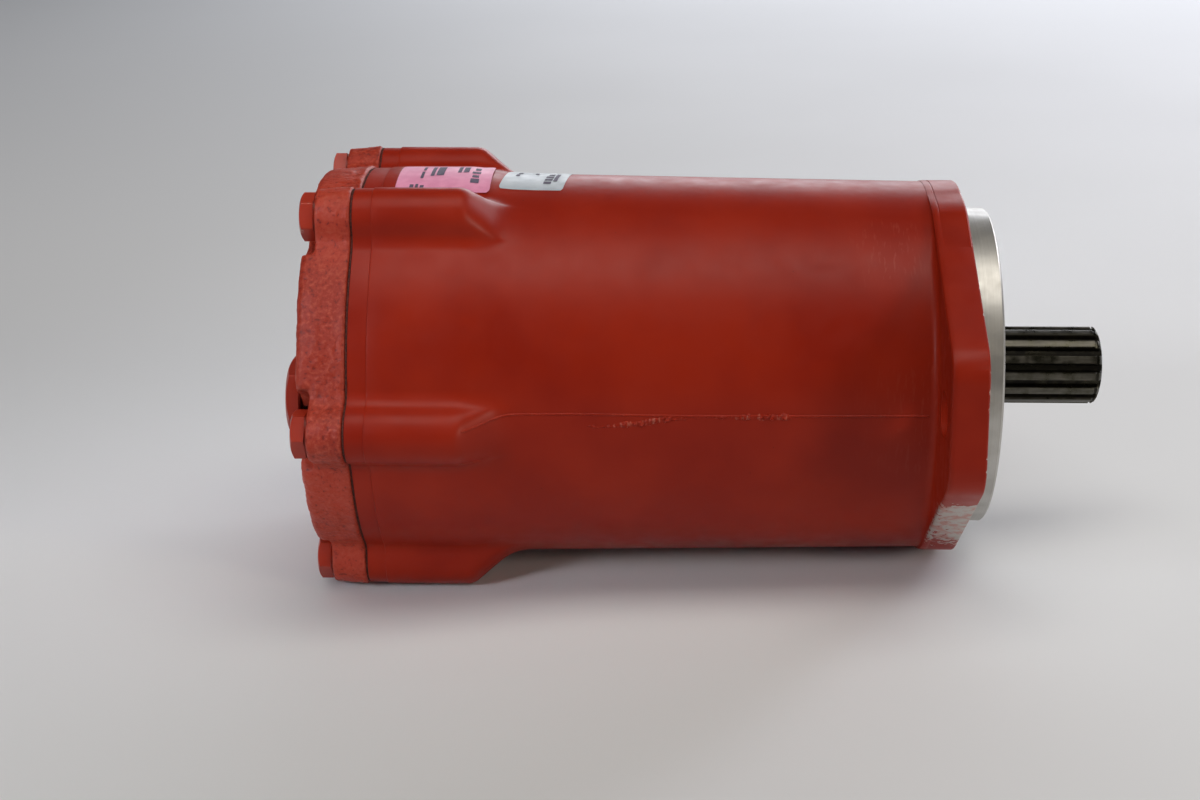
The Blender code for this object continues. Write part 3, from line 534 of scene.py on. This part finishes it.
def makeCasing():
    pilot, height = casing["pilotRadius"], casing["pilotHeight"]
    hole, seat, groove = casing["shaftHole"], casing["sealSeat"], casing["clipGroove"]
    painted, bare = 0, 1
    # The seal's seat with its clip groove, the pilot's face and side, and the flange's face
    stations = [(0.2, hole, bare), (0.2, seat, bare), (9.0, seat, bare), (9.0, groove, bare),
                (10.6, groove, bare), (10.6, seat, bare), (height - 0.7, seat, bare),
                (height, seat + 0.7, bare), (height, 44.0, bare), (height, pilot - 1.1, bare),
                (height - 0.3, pilot - 0.5, bare), (height - 0.9, pilot, bare), (1.2, pilot, bare),
                (0.9, pilot - 0.5, bare), (0.2, pilot - 0.5, bare), (0.0, pilot - 0.2, bare)]
    for inset in (8.0, 0.9):
        stations.append((0.0, lambda a, inset=inset: max(flangeRadius(a) - inset, pilot + 0.3), bare))
    stations += [(-0.25, lambda a: flangeRadius(a) - 0.3, painted), (-0.8, flangeRadius, painted)]
    # A fine groove goes round the flange's rim, and ends where the ears begin
    rear = -casing["thickness"]
    for x, depth in ((rear + 3.0, 0), (rear + 2.75, 0.22), (rear + 2.5, 0.22), (rear + 2.25, 0),
                     (rear + 1.3, 0)):
        stations.append((x, lambda a, d=depth: flangeRadius(a) - d * (1 - earShare(a)), painted))
    stations.append((rear + 0.45, lambda a: flangeRadius(a) - 0.1 - 0.25 * earShare(a), painted))
    filletSteps = 7

    def fillet(angle):
        # The root fillet is full size behind the ears and small round the rest of the flange
        room = flangeRadius(angle) - 1.0 - casing["bodyFront"]
        return min(max(room * 0.6, 0.1), casing["earFillet"])

    def edgeOfRear(angle):
        return max(flangeRadius(angle) - 0.2 - 0.8 * earShare(angle),
                   casing["bodyFront"] + fillet(angle) + 0.02)

    stations.append((rear, edgeOfRear, painted))
    for share in (0.4, 0.75):
        stations.append((rear, lambda a, s=share: edgeOfRear(a) + (casing["bodyFront"] + fillet(a)
                                                                   - edgeOfRear(a)) * s, painted))
    for step in range(filletSteps + 1):
        turn = math.pi / 2 * step / filletSteps
        stations.append((lambda a, t=turn: rear - fillet(a) * (1 - math.cos(t)),
                         lambda a, t=turn: casing["bodyFront"] + fillet(a) * (1 - math.sin(t)), painted))
    for x in (-21, -30, -50, -75, -100, -125, -150, -164):
        stations.append((x, casingRadius(x), painted))
    # Every 1.2 mm down the noses of the lobes, and far apart where they stand in full
    full = casing["lobesFull"]
    noses = [full + 27 - 1.2 * i for i in range(23)]
    for x in noses + [full, full - 4, full - 12, full - 20, -220]:
        stations.append((x, casingRadius(x), painted))
    band, joint = casing["bandX"], casing["jointX"]
    for x, inset in ((band + 0.5, 0), (band + 0.15, 0.08), (band - 0.15, casing["bandDepth"]),
                     (band - 0.5, casing["bandDepth"]), (joint + 0.8, casing["bandDepth"]),
                     (joint + 0.15, casing["bandDepth"] + 0.03), (joint, casing["bandDepth"] + 0.18)):
        stations.append((x, casingRadius(x, inset), painted))
    cavity, wall, bearing = casing["cavityRadius"], casing["frontWallX"], casing["bearingSeat"]
    stations += [(joint, cavity + 0.6, bare), (joint + 0.6, cavity, bare), (-120, cavity, bare),
                 (wall - 0.5, cavity, bare), (wall, cavity - 0.5, bare), (wall, bearing + 0.5, bare),
                 (wall + 0.5, bearing, bare), (-4.2, bearing, bare), (-4.2, hole + 0.4, bare),
                 (-3.8, hole, bare)]
    shape = loftRound(casingAngles(), stations, bridged=True)

    # The drain's boss points to the back: a cone with a chamfered end, joined at the chamfer's edge
    boss = bmesh.new()
    chamferAt = 79.6
    addBar(boss, 66, chamferAt, 13.0, sides=64, radiusLow=16.0)
    addBar(boss, chamferAt, 81.5, 12.2, sides=64, radiusLow=13.0)
    acrossPlace = Matrix.Translation((casing["drainX"], 0, 0)) @ Matrix.Rotation(math.pi / 2, 4, "Z")
    bmesh.ops.remove_doubles(boss, verts=boss.verts, dist=0.01)
    inner = [face for face in boss.faces if abs(face.calc_center_median().x - chamferAt) < 0.01]
    bmesh.ops.delete(boss, geom=inner, context="FACES_ONLY")
    bmesh.ops.recalc_face_normals(boss, faces=boss.faces)
    bmesh.ops.transform(boss, matrix=acrossPlace, verts=boss.verts)
    holes = bmesh.new()
    for side in (0, math.pi):
        y = casing["holeAt"] * math.cos(earTurn + side)
        z = casing["holeAt"] * math.sin(earTurn + side)
        addBar(holes, -30, 10, casing["holeRadius"], (y, z), 64)
    for y, z in boltPlaces(casing["boltCircle"]):
        addBar(holes, -240, -205, casing["boltHole"], (y, z), 24)
    port = bmesh.new()
    addBar(port, 60, 90, 7.4, sides=32)
    bmesh.ops.transform(port, matrix=acrossPlace, verts=port.verts)
    shape = carve(shape, [("UNION", boss), ("DIFFERENCE", holes), ("DIFFERENCE", port)],
                  [castPaint, bareAluminium])

    def wear(co):
        # Knocks on the front ear's lower flank, and thin paint along the flange's front edge
        turn = turnOf(co)
        away = math.hypot(co.y, co.z)
        onRim = away > flangeRadius(math.radians(turn)) - 1.6 and -13.8 < co.x < 0.1
        paintedGrooveShade = smoothStep(turn, 191, 197) * (1 - smoothStep(turn, 212, 240)) if onRim else 0
        edge = 0.30 if onRim and co.x > -0.6 else 0
        return max(paintedGrooveShade * (0.74 + 0.40 * smoothStep(co.x, -13, -3)), edge)

    def scuff(co):
        # Rubbed stretches on the barrel behind the flange, where it was lifted and slid
        turn = turnOf(co)
        top = smoothStep(co.x, -52, -40) * (1 - smoothStep(co.x, -24, -18))
        top *= smoothStep(turn, 112, 118) * (1 - smoothStep(turn, 134, 142))
        side = smoothStep(co.x, -34, -26) * (1 - smoothStep(co.x, -15, -13))
        side *= smoothStep(turn, 158, 166) * (1 - smoothStep(turn, 190, 200))
        return 0.18 * top + 0.12 * side

    paintOn(shape, "wear", wear)
    paintOn(shape, "scuff", scuff)
    settle("pumpCasing", shape, [castPaint, bareAluminium], "casing", ["housing"], 28)


makeCasing()


# Seams left by the casting dies: a fine bead along each side, rough where it was trimmed by hand.
# A seam's line is a list of (x, degrees round the barrel from its front or back).
seams = {"width": 1.3, "height": 0.32, "roughHeight": 1.5, "segments": 300,
         "front": [(-190, 1.2), (-172, 3.3), (-150, 3.4), (-102, 2.9), (-60, 2.9), (-17, 3.0)],
         "trimmed": [(-152, 1.2), (-140, -0.4), (-126, 0.6), (-112, 2.2), (-100, 2.6), (-60, 2.7)]}


def follow(line, x):
    # The value at x on a line of (x, value) points, eased from point to point
    for (xA, a), (xB, b) in zip(line, line[1:]):
        if x <= xB:
            return a + (b - a) * smoothStep(x, xA, xB)
    return line[-1][1]


def makeSeam(name, line, side, roughness, unbroken=1.0):
    # A closed ribbon: a grid laid along the barrel, humped across its width
    shape = bmesh.new()
    bmesh.ops.create_grid(shape, x_segments=seams["segments"], y_segments=6, size=1)
    bmesh.ops.solidify(shape, geom=shape.faces[:], thickness=0.0001)
    xLow, xHigh = line[0][0], line[-1][0]
    for vert in shape.verts:
        x = xLow + (xHigh - xLow) * (vert.co.x + 1) / 2
        across = vert.co.y
        hump = 1 - across * across
        top = 1 if vert.co.z > -0.00005 else 0
        lumps = noise.noise(Vector((x * 0.9, across * 1.4, side)))
        lumps += noise.noise(Vector((x * 0.25, 3.0, side)))
        rise = hump * (seams["height"] * max(unbroken, roughness(x) + lumps * 0.6)
                       + seams["roughHeight"] * roughness(x) * max(lumps + 0.1, 0))
        width = seams["width"] * (0.6 + roughness(x) * (1.5 + 1.2 * lumps))
        polarAngle = math.pi * side - math.radians(follow(line, x)) + across * width / bodyRadius(x) / 2
        radius = casingRadius(x)(polarAngle) + (rise - 0.06 if top else -0.5)
        vert.co = (x, radius * math.cos(polarAngle), radius * math.sin(polarAngle))
    bmesh.ops.recalc_face_normals(shape, faces=shape.faces)
    # The trimmed stretches are rubbed paler
    paintOn(shape, "scuff", lambda co: 0.9 * roughness(co.x))
    settle(name, shape, [castPaint], "casing", (), 60)


def trimmedBy(x):
    return smoothStep(x, -152, -140) * (1 - smoothStep(x, -72, -62)) * (0.6 + 0.4 * math.sin(x / 7))


makeSeam("frontCastingSeam", seams["front"], 1, lambda x: 0.12)
makeSeam("trimmedCastingSeam", seams["trimmed"], 1, trimmedBy, -0.6)
makeSeam("backCastingSeam", [(-190, 1.0), (-150, 1.0), (-20, 1.2)], 2, lambda x: 0.15)


# Rear cover: a sand casting, so it is modelled square, remeshed, softened and then roughened
cover = {
    "jointX": -234.3, "faceX": -253.5, "seatX": -248.0, "lip": 0.5, "edge": 4.0, "pocketAt": 86.5,
    "pocketRadius": 19.5, "plugAt": 56.0, "spotRadius": 17.8, "portHole": 12.2, "beyondX": -262,
    "voxel": 1.05, "grit": 0.24, "lump": 0.40,
}


def portPlace(side):
    # The centre of a port: side 0 is the rear one and side 1 the front one
    angle = portTurn + math.pi * side
    return cover["plugAt"] * math.cos(angle), cover["plugAt"] * math.sin(angle)


def makeCover():
    joint, face, edge, beyond = cover["jointX"], cover["faceX"], cover["edge"], cover["beyondX"]
    stations = []
    for away, inset in ((0, -0.1), (0.8, -cover["lip"]), (2.6, 0.1), (10, 0.5)):
        stations.append((joint - away, lambda a, inset=inset: lobedRadius(a, inset), 0))
    for step in range(6):
        turn = math.pi / 2 * step / 5
        stations.append((face + edge * (1 - math.sin(turn)),
                         lambda a, t=turn: lobedRadius(a, 0.9) - edge * (1 - math.cos(t)), 0))
    shape = loftRound([math.radians(i) for i in range(-30, 330)], stations)
    spigot = spunPiece([(-211.0, 17), (-211.0, 64.5), (-212.0, 65.4), (joint - 3, 65.4), (joint - 3, 17)])
    portSpots = [portPlace(side) for side in (0, 1)]
    boltSpots = boltPlaces(casing["boltCircle"])
    cuts = bmesh.new()
    for pocket in boltPlaces(cover["pocketAt"]):
        addBar(cuts, beyond, cover["seatX"], cover["pocketRadius"], pocket, 48)
    spots = bmesh.new()
    for port in portSpots:
        addBar(spots, beyond, face + 0.6, cover["spotRadius"], port, 48)
    bores = bmesh.new()
    for hole in boltSpots:
        addBar(bores, -260, -230, casing["boltHole"], hole, 24)
    for port in portSpots:
        addBar(bores, beyond, -234.5, cover["portHole"], port, 40)
    addBar(bores, -237, -205, 21.0)
    shape = carve(shape, [("UNION", spigot), ("DIFFERENCE", cuts), ("DIFFERENCE", spots),
                          ("DIFFERENCE", bores)], [coverPaint])
    piece = scratchObject("coverCasting", shape, [coverPaint])
    remesh = piece.modifiers.new("even skin", "REMESH")
    remesh.mode = "VOXEL"
    remesh.voxel_size = cover["voxel"]
    shape = evaluated(piece)
    for _ in range(2):
        bmesh.ops.smooth_vert(shape, verts=[v for v in shape.verts if v.co.x < joint - 0.7], factor=0.5,
                              use_axis_x=True, use_axis_y=True, use_axis_z=True)
    shape.normal_update()

    def rough(co):
        # Machined bolt seats, spot faces and the joint face stay smooth
        if co.x > joint - 0.6:
            return 0.0
        amount = 1.0
        for y, z in boltSpots:
            if abs(co.x - cover["seatX"]) < 0.8:
                amount = min(amount, smoothStep(math.hypot(co.y - y, co.z - z), 10.5, 12.5))
        for y, z in portSpots:
            amount = min(amount, smoothStep(math.hypot(co.y - y, co.z - z), 17.6, 18.6))
        return amount

    for vert in shape.verts:
        grit = noise.fractal(vert.co * 0.7, 0.9, 2.1, 3) * cover["grit"]
        lump = noise.noise(vert.co * 0.16 + Vector((7, 3, 1))) * cover["lump"]
        vert.co += vert.normal * (grit + lump) * rough(vert.co)
    settle("rearCover", shape, [coverPaint], "casing", ["rear_cover"], 70)


makeCover()


def makeGasket():
    angles = [math.radians(i * 0.75 - 30) for i in range(480)]
    front, rear, inner = -233.6, -234.2, 66.5

    def outer(angle):
        # Cut by hand, so the edge wavers by up to 0.15 mm
        return lobedRadius(angle, 0.50) + 0.15 * math.sin(angle * 41) * math.sin(angle * 7)

    shape = loftRound(angles, [(front, inner, 0), (front, outer, 0), (rear, outer, 0), (rear, inner, 0)],
                      bridged=True)
    settle("coverGasket", shape, [finishes["gasketFibreSheet"]], "casing",
           ["cover_gasket"])


makeGasket()

# Cover bolts: hexagon heads, washer faced, chamfered, turned to where each came tight
bolts = {"acrossCorners": 19.0, "head": 6.0, "seat": -248.3, "shank": 5.55, "length": 38,
         "turned": [4, 12, 43.7, 27.1, 36.7, 33]}
plugs = {"acrossCorners": 32.6, "head": 5.8, "seat": -253.2, "turned": {"rear": 25, "front": 40.7}}
hexes = {"chamfer": 28, "flat": 0.93, "dome": 0.35}


def hexRadius(apothem, turn):
    # The outline of a hexagon that is turned by an angle
    return lambda angle: apothem / math.cos((angle - turn + math.pi / 6) % (math.pi / 3) - math.pi / 6)


def hexHead(seat, height, acrossCorners, turn, below, count=144):
    # A hexagon prism on the stations below it, with its outer edge turned off at the chamfer's angle
    apothem = acrossCorners / 2 * math.cos(math.pi / 6)
    side = hexRadius(apothem, turn)
    top = seat - height
    flatTo, dome = apothem * hexes["flat"], hexes["dome"]
    slope = math.tan(math.radians(hexes["chamfer"]))
    stations = below + [(seat, apothem * 0.96, 0), (seat - 0.5, apothem * 0.97, 0), (seat - 0.5, side, 0)]
    for part in (1.0, 0.985, 0.955):
        stations.append((lambda a, p=part: top + max(side(a) * p - flatTo, 0) * slope + dome * 0.4,
                         lambda a, p=part: max(side(a) * p, flatTo), 0))
    stations += [(top + dome * 0.4, flatTo - 0.1, 0), (top + dome * 0.1, flatTo * 0.75, 0),
                 (top, flatTo * 0.45, 0), (top, flatTo * 0.40, 0)]
    return loftRound(evenAngles(count), stations)


def makeBolts():
    reachIn = bolts["seat"] + bolts["length"]
    shank = bolts["shank"]
    below = [(reachIn, shank - 1.2, 0), (reachIn - 1.2, shank, 0), (bolts["seat"] + 0.4, shank, 0),
             (bolts["seat"], shank + 0.4, 0)]
    upperFront = 2
    for i, turn in enumerate(bolts["turned"]):
        shape = hexHead(bolts["seat"], bolts["head"], bolts["acrossCorners"], math.radians(turn), below)
        centre = Vector((0, *boltPlaces(casing["boltCircle"])[i]))

        def wear(co, i=i):
            # Wrench marks: on the corners of every head, and one flat of the upper front bolt
            atCorner = math.hypot(co.y, co.z) > bolts["acrossCorners"] / 2 * 0.97
            chipped = i == upperFront and -254 < co.x < -248.9 and 194 < turnOf(co) < 214
            return 0.75 if chipped else 0.33 if atCorner and co.x < -249 else 0.0

        paintOn(shape, "wear", wear)
        bmesh.ops.translate(shape, vec=centre, verts=shape.verts)
        settle(f"coverBolt{i + 1}", shape, [fastenerPaint], "casing",
               [f"cover_bolt_{i + 1}"])


def makePlugs():
    seat = plugs["seat"]
    below = [(-238.0, 10.4, 0), (-239.0, 11.5, 0), (-249.5, 11.5, 0), (-250.2, 9.8, 0), (seat, 9.8, 0)]
    for i, side in enumerate(("rear", "front")):
        centre = Vector((0, *portPlace(i)))
        turn = math.radians(plugs["turned"][side])
        shape = hexHead(seat, plugs["head"], plugs["acrossCorners"], turn, below, 180)
        paintOn(shape, "wear", lambda co: 0.25 if math.hypot(co.y, co.z) > 16.2 else 0.0)
        bmesh.ops.translate(shape, vec=centre, verts=shape.verts)
        settle(f"{side}PortPlug", shape, [fastenerPaint], "casing",
               [f"port_plug_{side}"])
        ringPoints = [(-251.6 + 0.7 * math.cos(a), 11.0 + 0.7 * math.sin(a)) for a in evenAngles(16)]
        seal = spunPiece(ringPoints, 64)
        bmesh.ops.translate(seal, vec=centre, verts=seal.verts)
        settle(f"{side}PortSeal", seal, [finishes["mouldedNitrileRubber"]], "casing",
               [f"port_seal_{side}"], 60)
    seat = -81.8
    shape = hexHead(seat, 5.0, 24.0, 0.3, [(-70.0, 6.0, 0), (-70.8, 6.7, 0), (seat, 6.7, 0)])
    aside = Matrix.Translation((casing["drainX"], 0, 0)) @ Matrix.Rotation(-math.pi / 2, 4, "Z")
    bmesh.ops.transform(shape, matrix=aside, verts=shape.verts)
    settle("drainPlug", shape, [fastenerPaint], "casing", ["drain_plug"])


makeBolts()
makePlugs()

# Drive shaft: a spline outside, a plain length through the seal and bearing, and an inner spline
# that carries the cylinder block
shaft = {"end": 59.8, "major": 15.6, "minor": 13.3, "teeth": 14, "chamfer": 1.6, "groove": 57.2,
         "innerMajor": 18.2, "innerMinor": 16.5}


def toothed(major, minor, offset=0.0):
    # Flanks lean in from root to tip, and tips and roots are a little rounded
    def radius(angle):
        away = abs(((angle + offset) * shaft["teeth"] / fullTurn + 0.5) % 1 - 0.5)
        return major - (major - minor) * smoothStep(away, 0.20, 0.335)
    return radius


def makeShaft():
    end, groove = shaft["end"], shaft["groove"]
    outer = toothed(shaft["major"], shaft["minor"])
    inner = toothed(shaft["innerMajor"], shaft["innerMinor"])
    clipped = lambda limit: lambda a: min(outer(a), limit)
    stations = [(end, 0.4, 0), (end, 11.6, 0), (end - 0.2, 12.1, 0), (end - 0.5, clipped(13.2), 0),
                (end - 1.0, clipped(14.4), 0), (end - shaft["chamfer"], clipped(15.3), 0),
                (groove + 0.5, outer, 0), (groove + 0.3, clipped(14.9), 0),
                (groove - 0.4, clipped(14.9), 0), (groove - 0.7, outer, 0),
                (40, outer, 0), (26, outer, 0), (15.6, outer, 0), (14.0, 15.7, 0), (12.8, 16.2, 0),
                (12.3, 17.0, 0), (-3.0, 17.0, 0), (-3.0, 17.5, 0), (-25.5, 17.5, 0), (-25.5, 21.6, 0),
                (-25.9, 22.0, 0), (-29.8, 22.0, 0), (-29.8, 16.4, 0), (-89.0, 16.4, 0), (-90.0, inner, 0),
                (-150.0, inner, 0), (-151.0, 16.3, 0), (-151.5, 15.0, 0), (-206.0, 15.0, 0),
                (-206.0, 14.0, 0), (-234.5, 14.0, 0), (-235.5, 13.0, 0), (-235.5, 0.4, 0)]
    shape = loftRound(evenAngles(shaft["teeth"] * 24), stations)
    settle("driveShaft", shape, [finishes["oiledSplineSteel"]], "shaft", ["drive_shaft"], 34)


makeShaft()


def makeSealAndClip():
    # Pressed case, moulded face and lip, and the groove that holds its garter spring
    profile = [(8.2, 25.8), (0.6, 25.8), (0.6, 18.3), (2.2, 17.5), (3.0, 17.3), (3.8, 17.5), (5.2, 18.4),
               (6.4, 18.6), (7.2, 17.9), (7.8, 18.2), (7.6, 19.4), (6.9, 20.4), (6.9, 22.4), (7.4, 23.2),
               (8.4, 23.5), (8.6, 24.8)]
    settle("shaftSeal", spunPiece(profile, 120), [finishes["mouldedNitrileRubber"]], "casing",
           ["shaft_seal"], 40)
    # The clip is open at the bottom, with an eye at each end for the pliers
    shape = bmesh.new()
    rear, front, opening, outer, inner = 9.2, 10.4, math.radians(16), 27.2, 24.6
    start = opening - math.pi / 2
    corners = [shape.verts.new((x, r * math.cos(start), r * math.sin(start)))
               for x, r in ((rear, outer), (front, outer), (front, inner), (rear, inner))]
    section = shape.faces.new(corners)
    bmesh.ops.spin(shape, geom=[section], axis=(1, 0, 0), cent=(0, 0, 0), angle=fullTurn - 2 * opening,
                   steps=110, use_merge=False)
    bmesh.ops.recalc_face_normals(shape, faces=shape.faces)
    eyes, pins = bmesh.new(), bmesh.new()
    for side in (-1, 1):
        angle = side * (opening + math.radians(4)) - math.pi / 2
        addBar(eyes, rear, front, 3.0, (23.6 * math.cos(angle), 23.6 * math.sin(angle)), 32)
        addBar(pins, 8, 12, 1.1, (23.3 * math.cos(angle), 23.3 * math.sin(angle)), 24)
    springSteel = finishes["springSteel"]
    shape = carve(shape, [("UNION", eyes), ("DIFFERENCE", pins)], [springSteel])
    settle("sealSnapRing", shape, [springSteel], "casing", ["seal_snap_ring"], 30)


makeSealAndClip()

# Labels between the upper lobes. The printing is only generic bars.
labels = {
    "pinkLabel": dict(node="pink_label", slot="pink_label_paper", finish="pinkCoatedLabel", x=(-221, -184),
                      stiff=79.3, middle=93.1, half=12.9, skew=0.0,
                      bars=[(.15, .19, .04, .16), (.21, .24, .05, .17), (.26, .30, .04, .14),
                            (.24, .27, .34, .58), (.24, .27, .64, .84), (.34, .38, .42, .84),
                            (.40, .48, .44, .86), (.62, .66, .55, .86), (.68, .74, .56, .84),
                            (.78, .87, .22, .34), (.79, .86, .38, .46), (.78, .87, .52, .60),
                            (.80, .86, .66, .80)]),
    "whiteLabel": dict(node="white_label", slot="white_label_paper", finish="whiteCoatedLabel",
                       x=(-179.5, -154.5), stiff=0.0, middle=89, half=12, skew=1.5,
                       bars=[(.16, .22, .52, .62), (.17, .24, .68, .78), (.45, .50, .66, .76),
                             (.66, .78, .20, .28), (.66, .78, .33, .40), (.66, .78, .45, .54),
                             (.68, .77, .60, .68), (.80, .86, .30, .70)]),
}


def makeLabel(name):
    look = labels[name]
    xLow, xHigh = look["x"]

    def surface(u, v, up):
        # v runs from the front side over the top; stiff paper stands off where the casting falls away
        angle = math.radians(look["middle"] + look["half"] * (1 - 2 * v))
        x = xLow + (xHigh - xLow) * u - look["skew"] * (1 - 2 * v)
        radius = max(casingRadius(x)(angle) + 0.18, look["stiff"]) + up
        return Vector((x, radius * math.cos(angle), radius * math.sin(angle)))

    shape = bmesh.new()
    bmesh.ops.create_grid(shape, x_segments=36, y_segments=30, size=1)
    cornerSize, cornerRun = 0.05, 0.08
    for vert in shape.verts:
        u, v = (vert.co.x + 1) / 2, (vert.co.y + 1) / 2
        # Corners rounded by pulling the ends of the short sides in
        pull = cornerSize * max(0.0, 1 - min(v, 1 - v) / cornerRun) ** 2 * 0.6
        u = pull + (1 - 2 * pull) * u
        vert.co = surface(u, v, 0.0)
    bmesh.ops.solidify(shape, geom=shape.faces[:], thickness=0.12)
    for uLow, uHigh, vLow, vHigh in look["bars"]:
        before = set(shape.verts)
        printed = bmesh.ops.create_grid(shape, x_segments=2, y_segments=6, size=1)["verts"]
        faces = {face for vert in printed for face in vert.link_faces}
        for vert in printed:
            u = uLow + (uHigh - uLow) * (vert.co.x + 1) / 2
            v = vLow + (vHigh - vLow) * (vert.co.y + 1) / 2
            vert.co = surface(u, v, 0.16)
        bmesh.ops.solidify(shape, geom=list(faces), thickness=0.03)
        for face in {face for vert in shape.verts if vert not in before for face in vert.link_faces}:
            face.material_index = 1
    bmesh.ops.recalc_face_normals(shape, faces=shape.faces)
    settle(name, shape, [finishes[look["finish"]], finishes["printedInk"]], "casing",
           [look["node"]], 50)


for name in labels:
    makeLabel(name)

# The working parts inside keep their CAD shape, and take the finish of their real metal
insideFinishes = {
    "ground_steel": "groundBearingSteel", "swash_iron": "machinedGreyIron", "bronze": "turnedBronze",
    "oiled_steel": "springSteel", "seal_rubber": "mouldedNitrileRubber",
}
slotOf = {part["node"]: part["material_slot"] for part in frame["record"]["subparts"]}
for name, node in frame["nodes"].items():
    if not node.hide_render:
        node.data.materials.clear()
        node.data.materials.append(finishes[insideFinishes[slotOf[name]]])
print("inner parts finished")

# Stage: a pale floor, leaning so that the two lower lobes and the flange's rim both stand on it
stage = {"size": 8.0, "lobeX": -192, "flangeX": -1, "gap": 0.0002, "roomColour": "#e9ebee",
         "roomStrength": 0.06, "camera": (-111.7, -765.4, 251.9), "lens": 58.89,
         "right": (0.99927, 0.03771, -0.00628), "up": (-0.00655, 0.33068, 0.94372),
         "forward": (-0.03766, 0.94299, -0.33068)}
floorShape = bmesh.new()
bmesh.ops.create_grid(floorShape, x_segments=8, y_segments=8, size=stage["size"])
lobeEdge, flangeEdge = axisPlace.x + stage["lobeX"] / 1000, axisPlace.x + stage["flangeX"] / 1000
flangeFoot = axisPlace.z - casing["flangeRadius"] / 1000
for vert in floorShape.verts:
    vert.co.z = flangeFoot * (vert.co.x - lobeEdge) / (flangeEdge - lobeEdge) - stage["gap"]
floor = scratchObject("paleFloor", floorShape, [finishes["paleStudioFloor"]])

lights = {
    "keySoftbox": dict(place=(0.1, -0.42, 2.05), aim=(0.0, 0.0, 0.08), size=(2.4, 1.0), power=24,
                       colour="#fffaf2", spread=180),
    "backWindow": dict(place=(0.8, 2.1, 0.75), aim=(0.0, 0.0, 0.08), size=(2.6, 0.7), power=24,
                       colour="#f6f8ff", spread=180),
    "sideWindow": dict(place=(1.45, 1.05, 0.90), aim=(0.0, 0.0, 0.08), size=(0.5, 0.5), power=9,
                       colour="#f6f4ff", spread=180),
    "rightWindow": dict(place=(1.35, -1.00, 0.62), aim=(0.0, 0.0, 0.08), size=(0.35, 0.35), power=8,
                        colour="#fff3e4", spread=180),
    "leftLamp": dict(place=(-0.85, -0.60, 0.48), aim=(-0.20, 0.0, 0.09), size=(0.4, 0.4), power=0.30,
                     colour="#f2f5ff", spread=30),
}
for name, look in lights.items():
    lamp = bpy.data.lights.new(name, "AREA")
    lamp.shape = "RECTANGLE"
    lamp.size, lamp.size_y = look["size"]
    lamp.energy = look["power"]
    lamp.color = linear(look["colour"])[:3]
    lamp.spread = math.radians(look["spread"])
    holder = bpy.data.objects.new(name, lamp)
    holder.location = look["place"]
    facing = Vector(look["aim"]) - Vector(look["place"])
    holder.rotation_euler = facing.to_track_quat("-Z", "Y").to_euler()
    bpy.context.scene.collection.objects.link(holder)
world = bpy.data.worlds.new("softRoom")
bpy.context.scene.world = world
world.use_nodes = True
background = world.node_tree.nodes["Background"]
background.inputs["Color"].default_value = linear(stage["roomColour"])
background.inputs["Strength"].default_value = stage["roomStrength"]

eye = bpy.data.cameras.new("camera")
eye.lens = stage["lens"]
eye.sensor_width = 36
eye.clip_end = 50
camera = bpy.data.objects.new("camera", eye)
camera.matrix_world = Matrix.Translation(toPump @ Vector(stage["camera"])) @ Matrix(
    (stage["right"], stage["up"], [-part for part in stage["forward"]])).transposed().to_4x4()
bpy.context.scene.collection.objects.link(camera)
bpy.context.scene.camera = camera
bpy.context.scene.view_settings.view_transform = "Standard"
print("stage set")
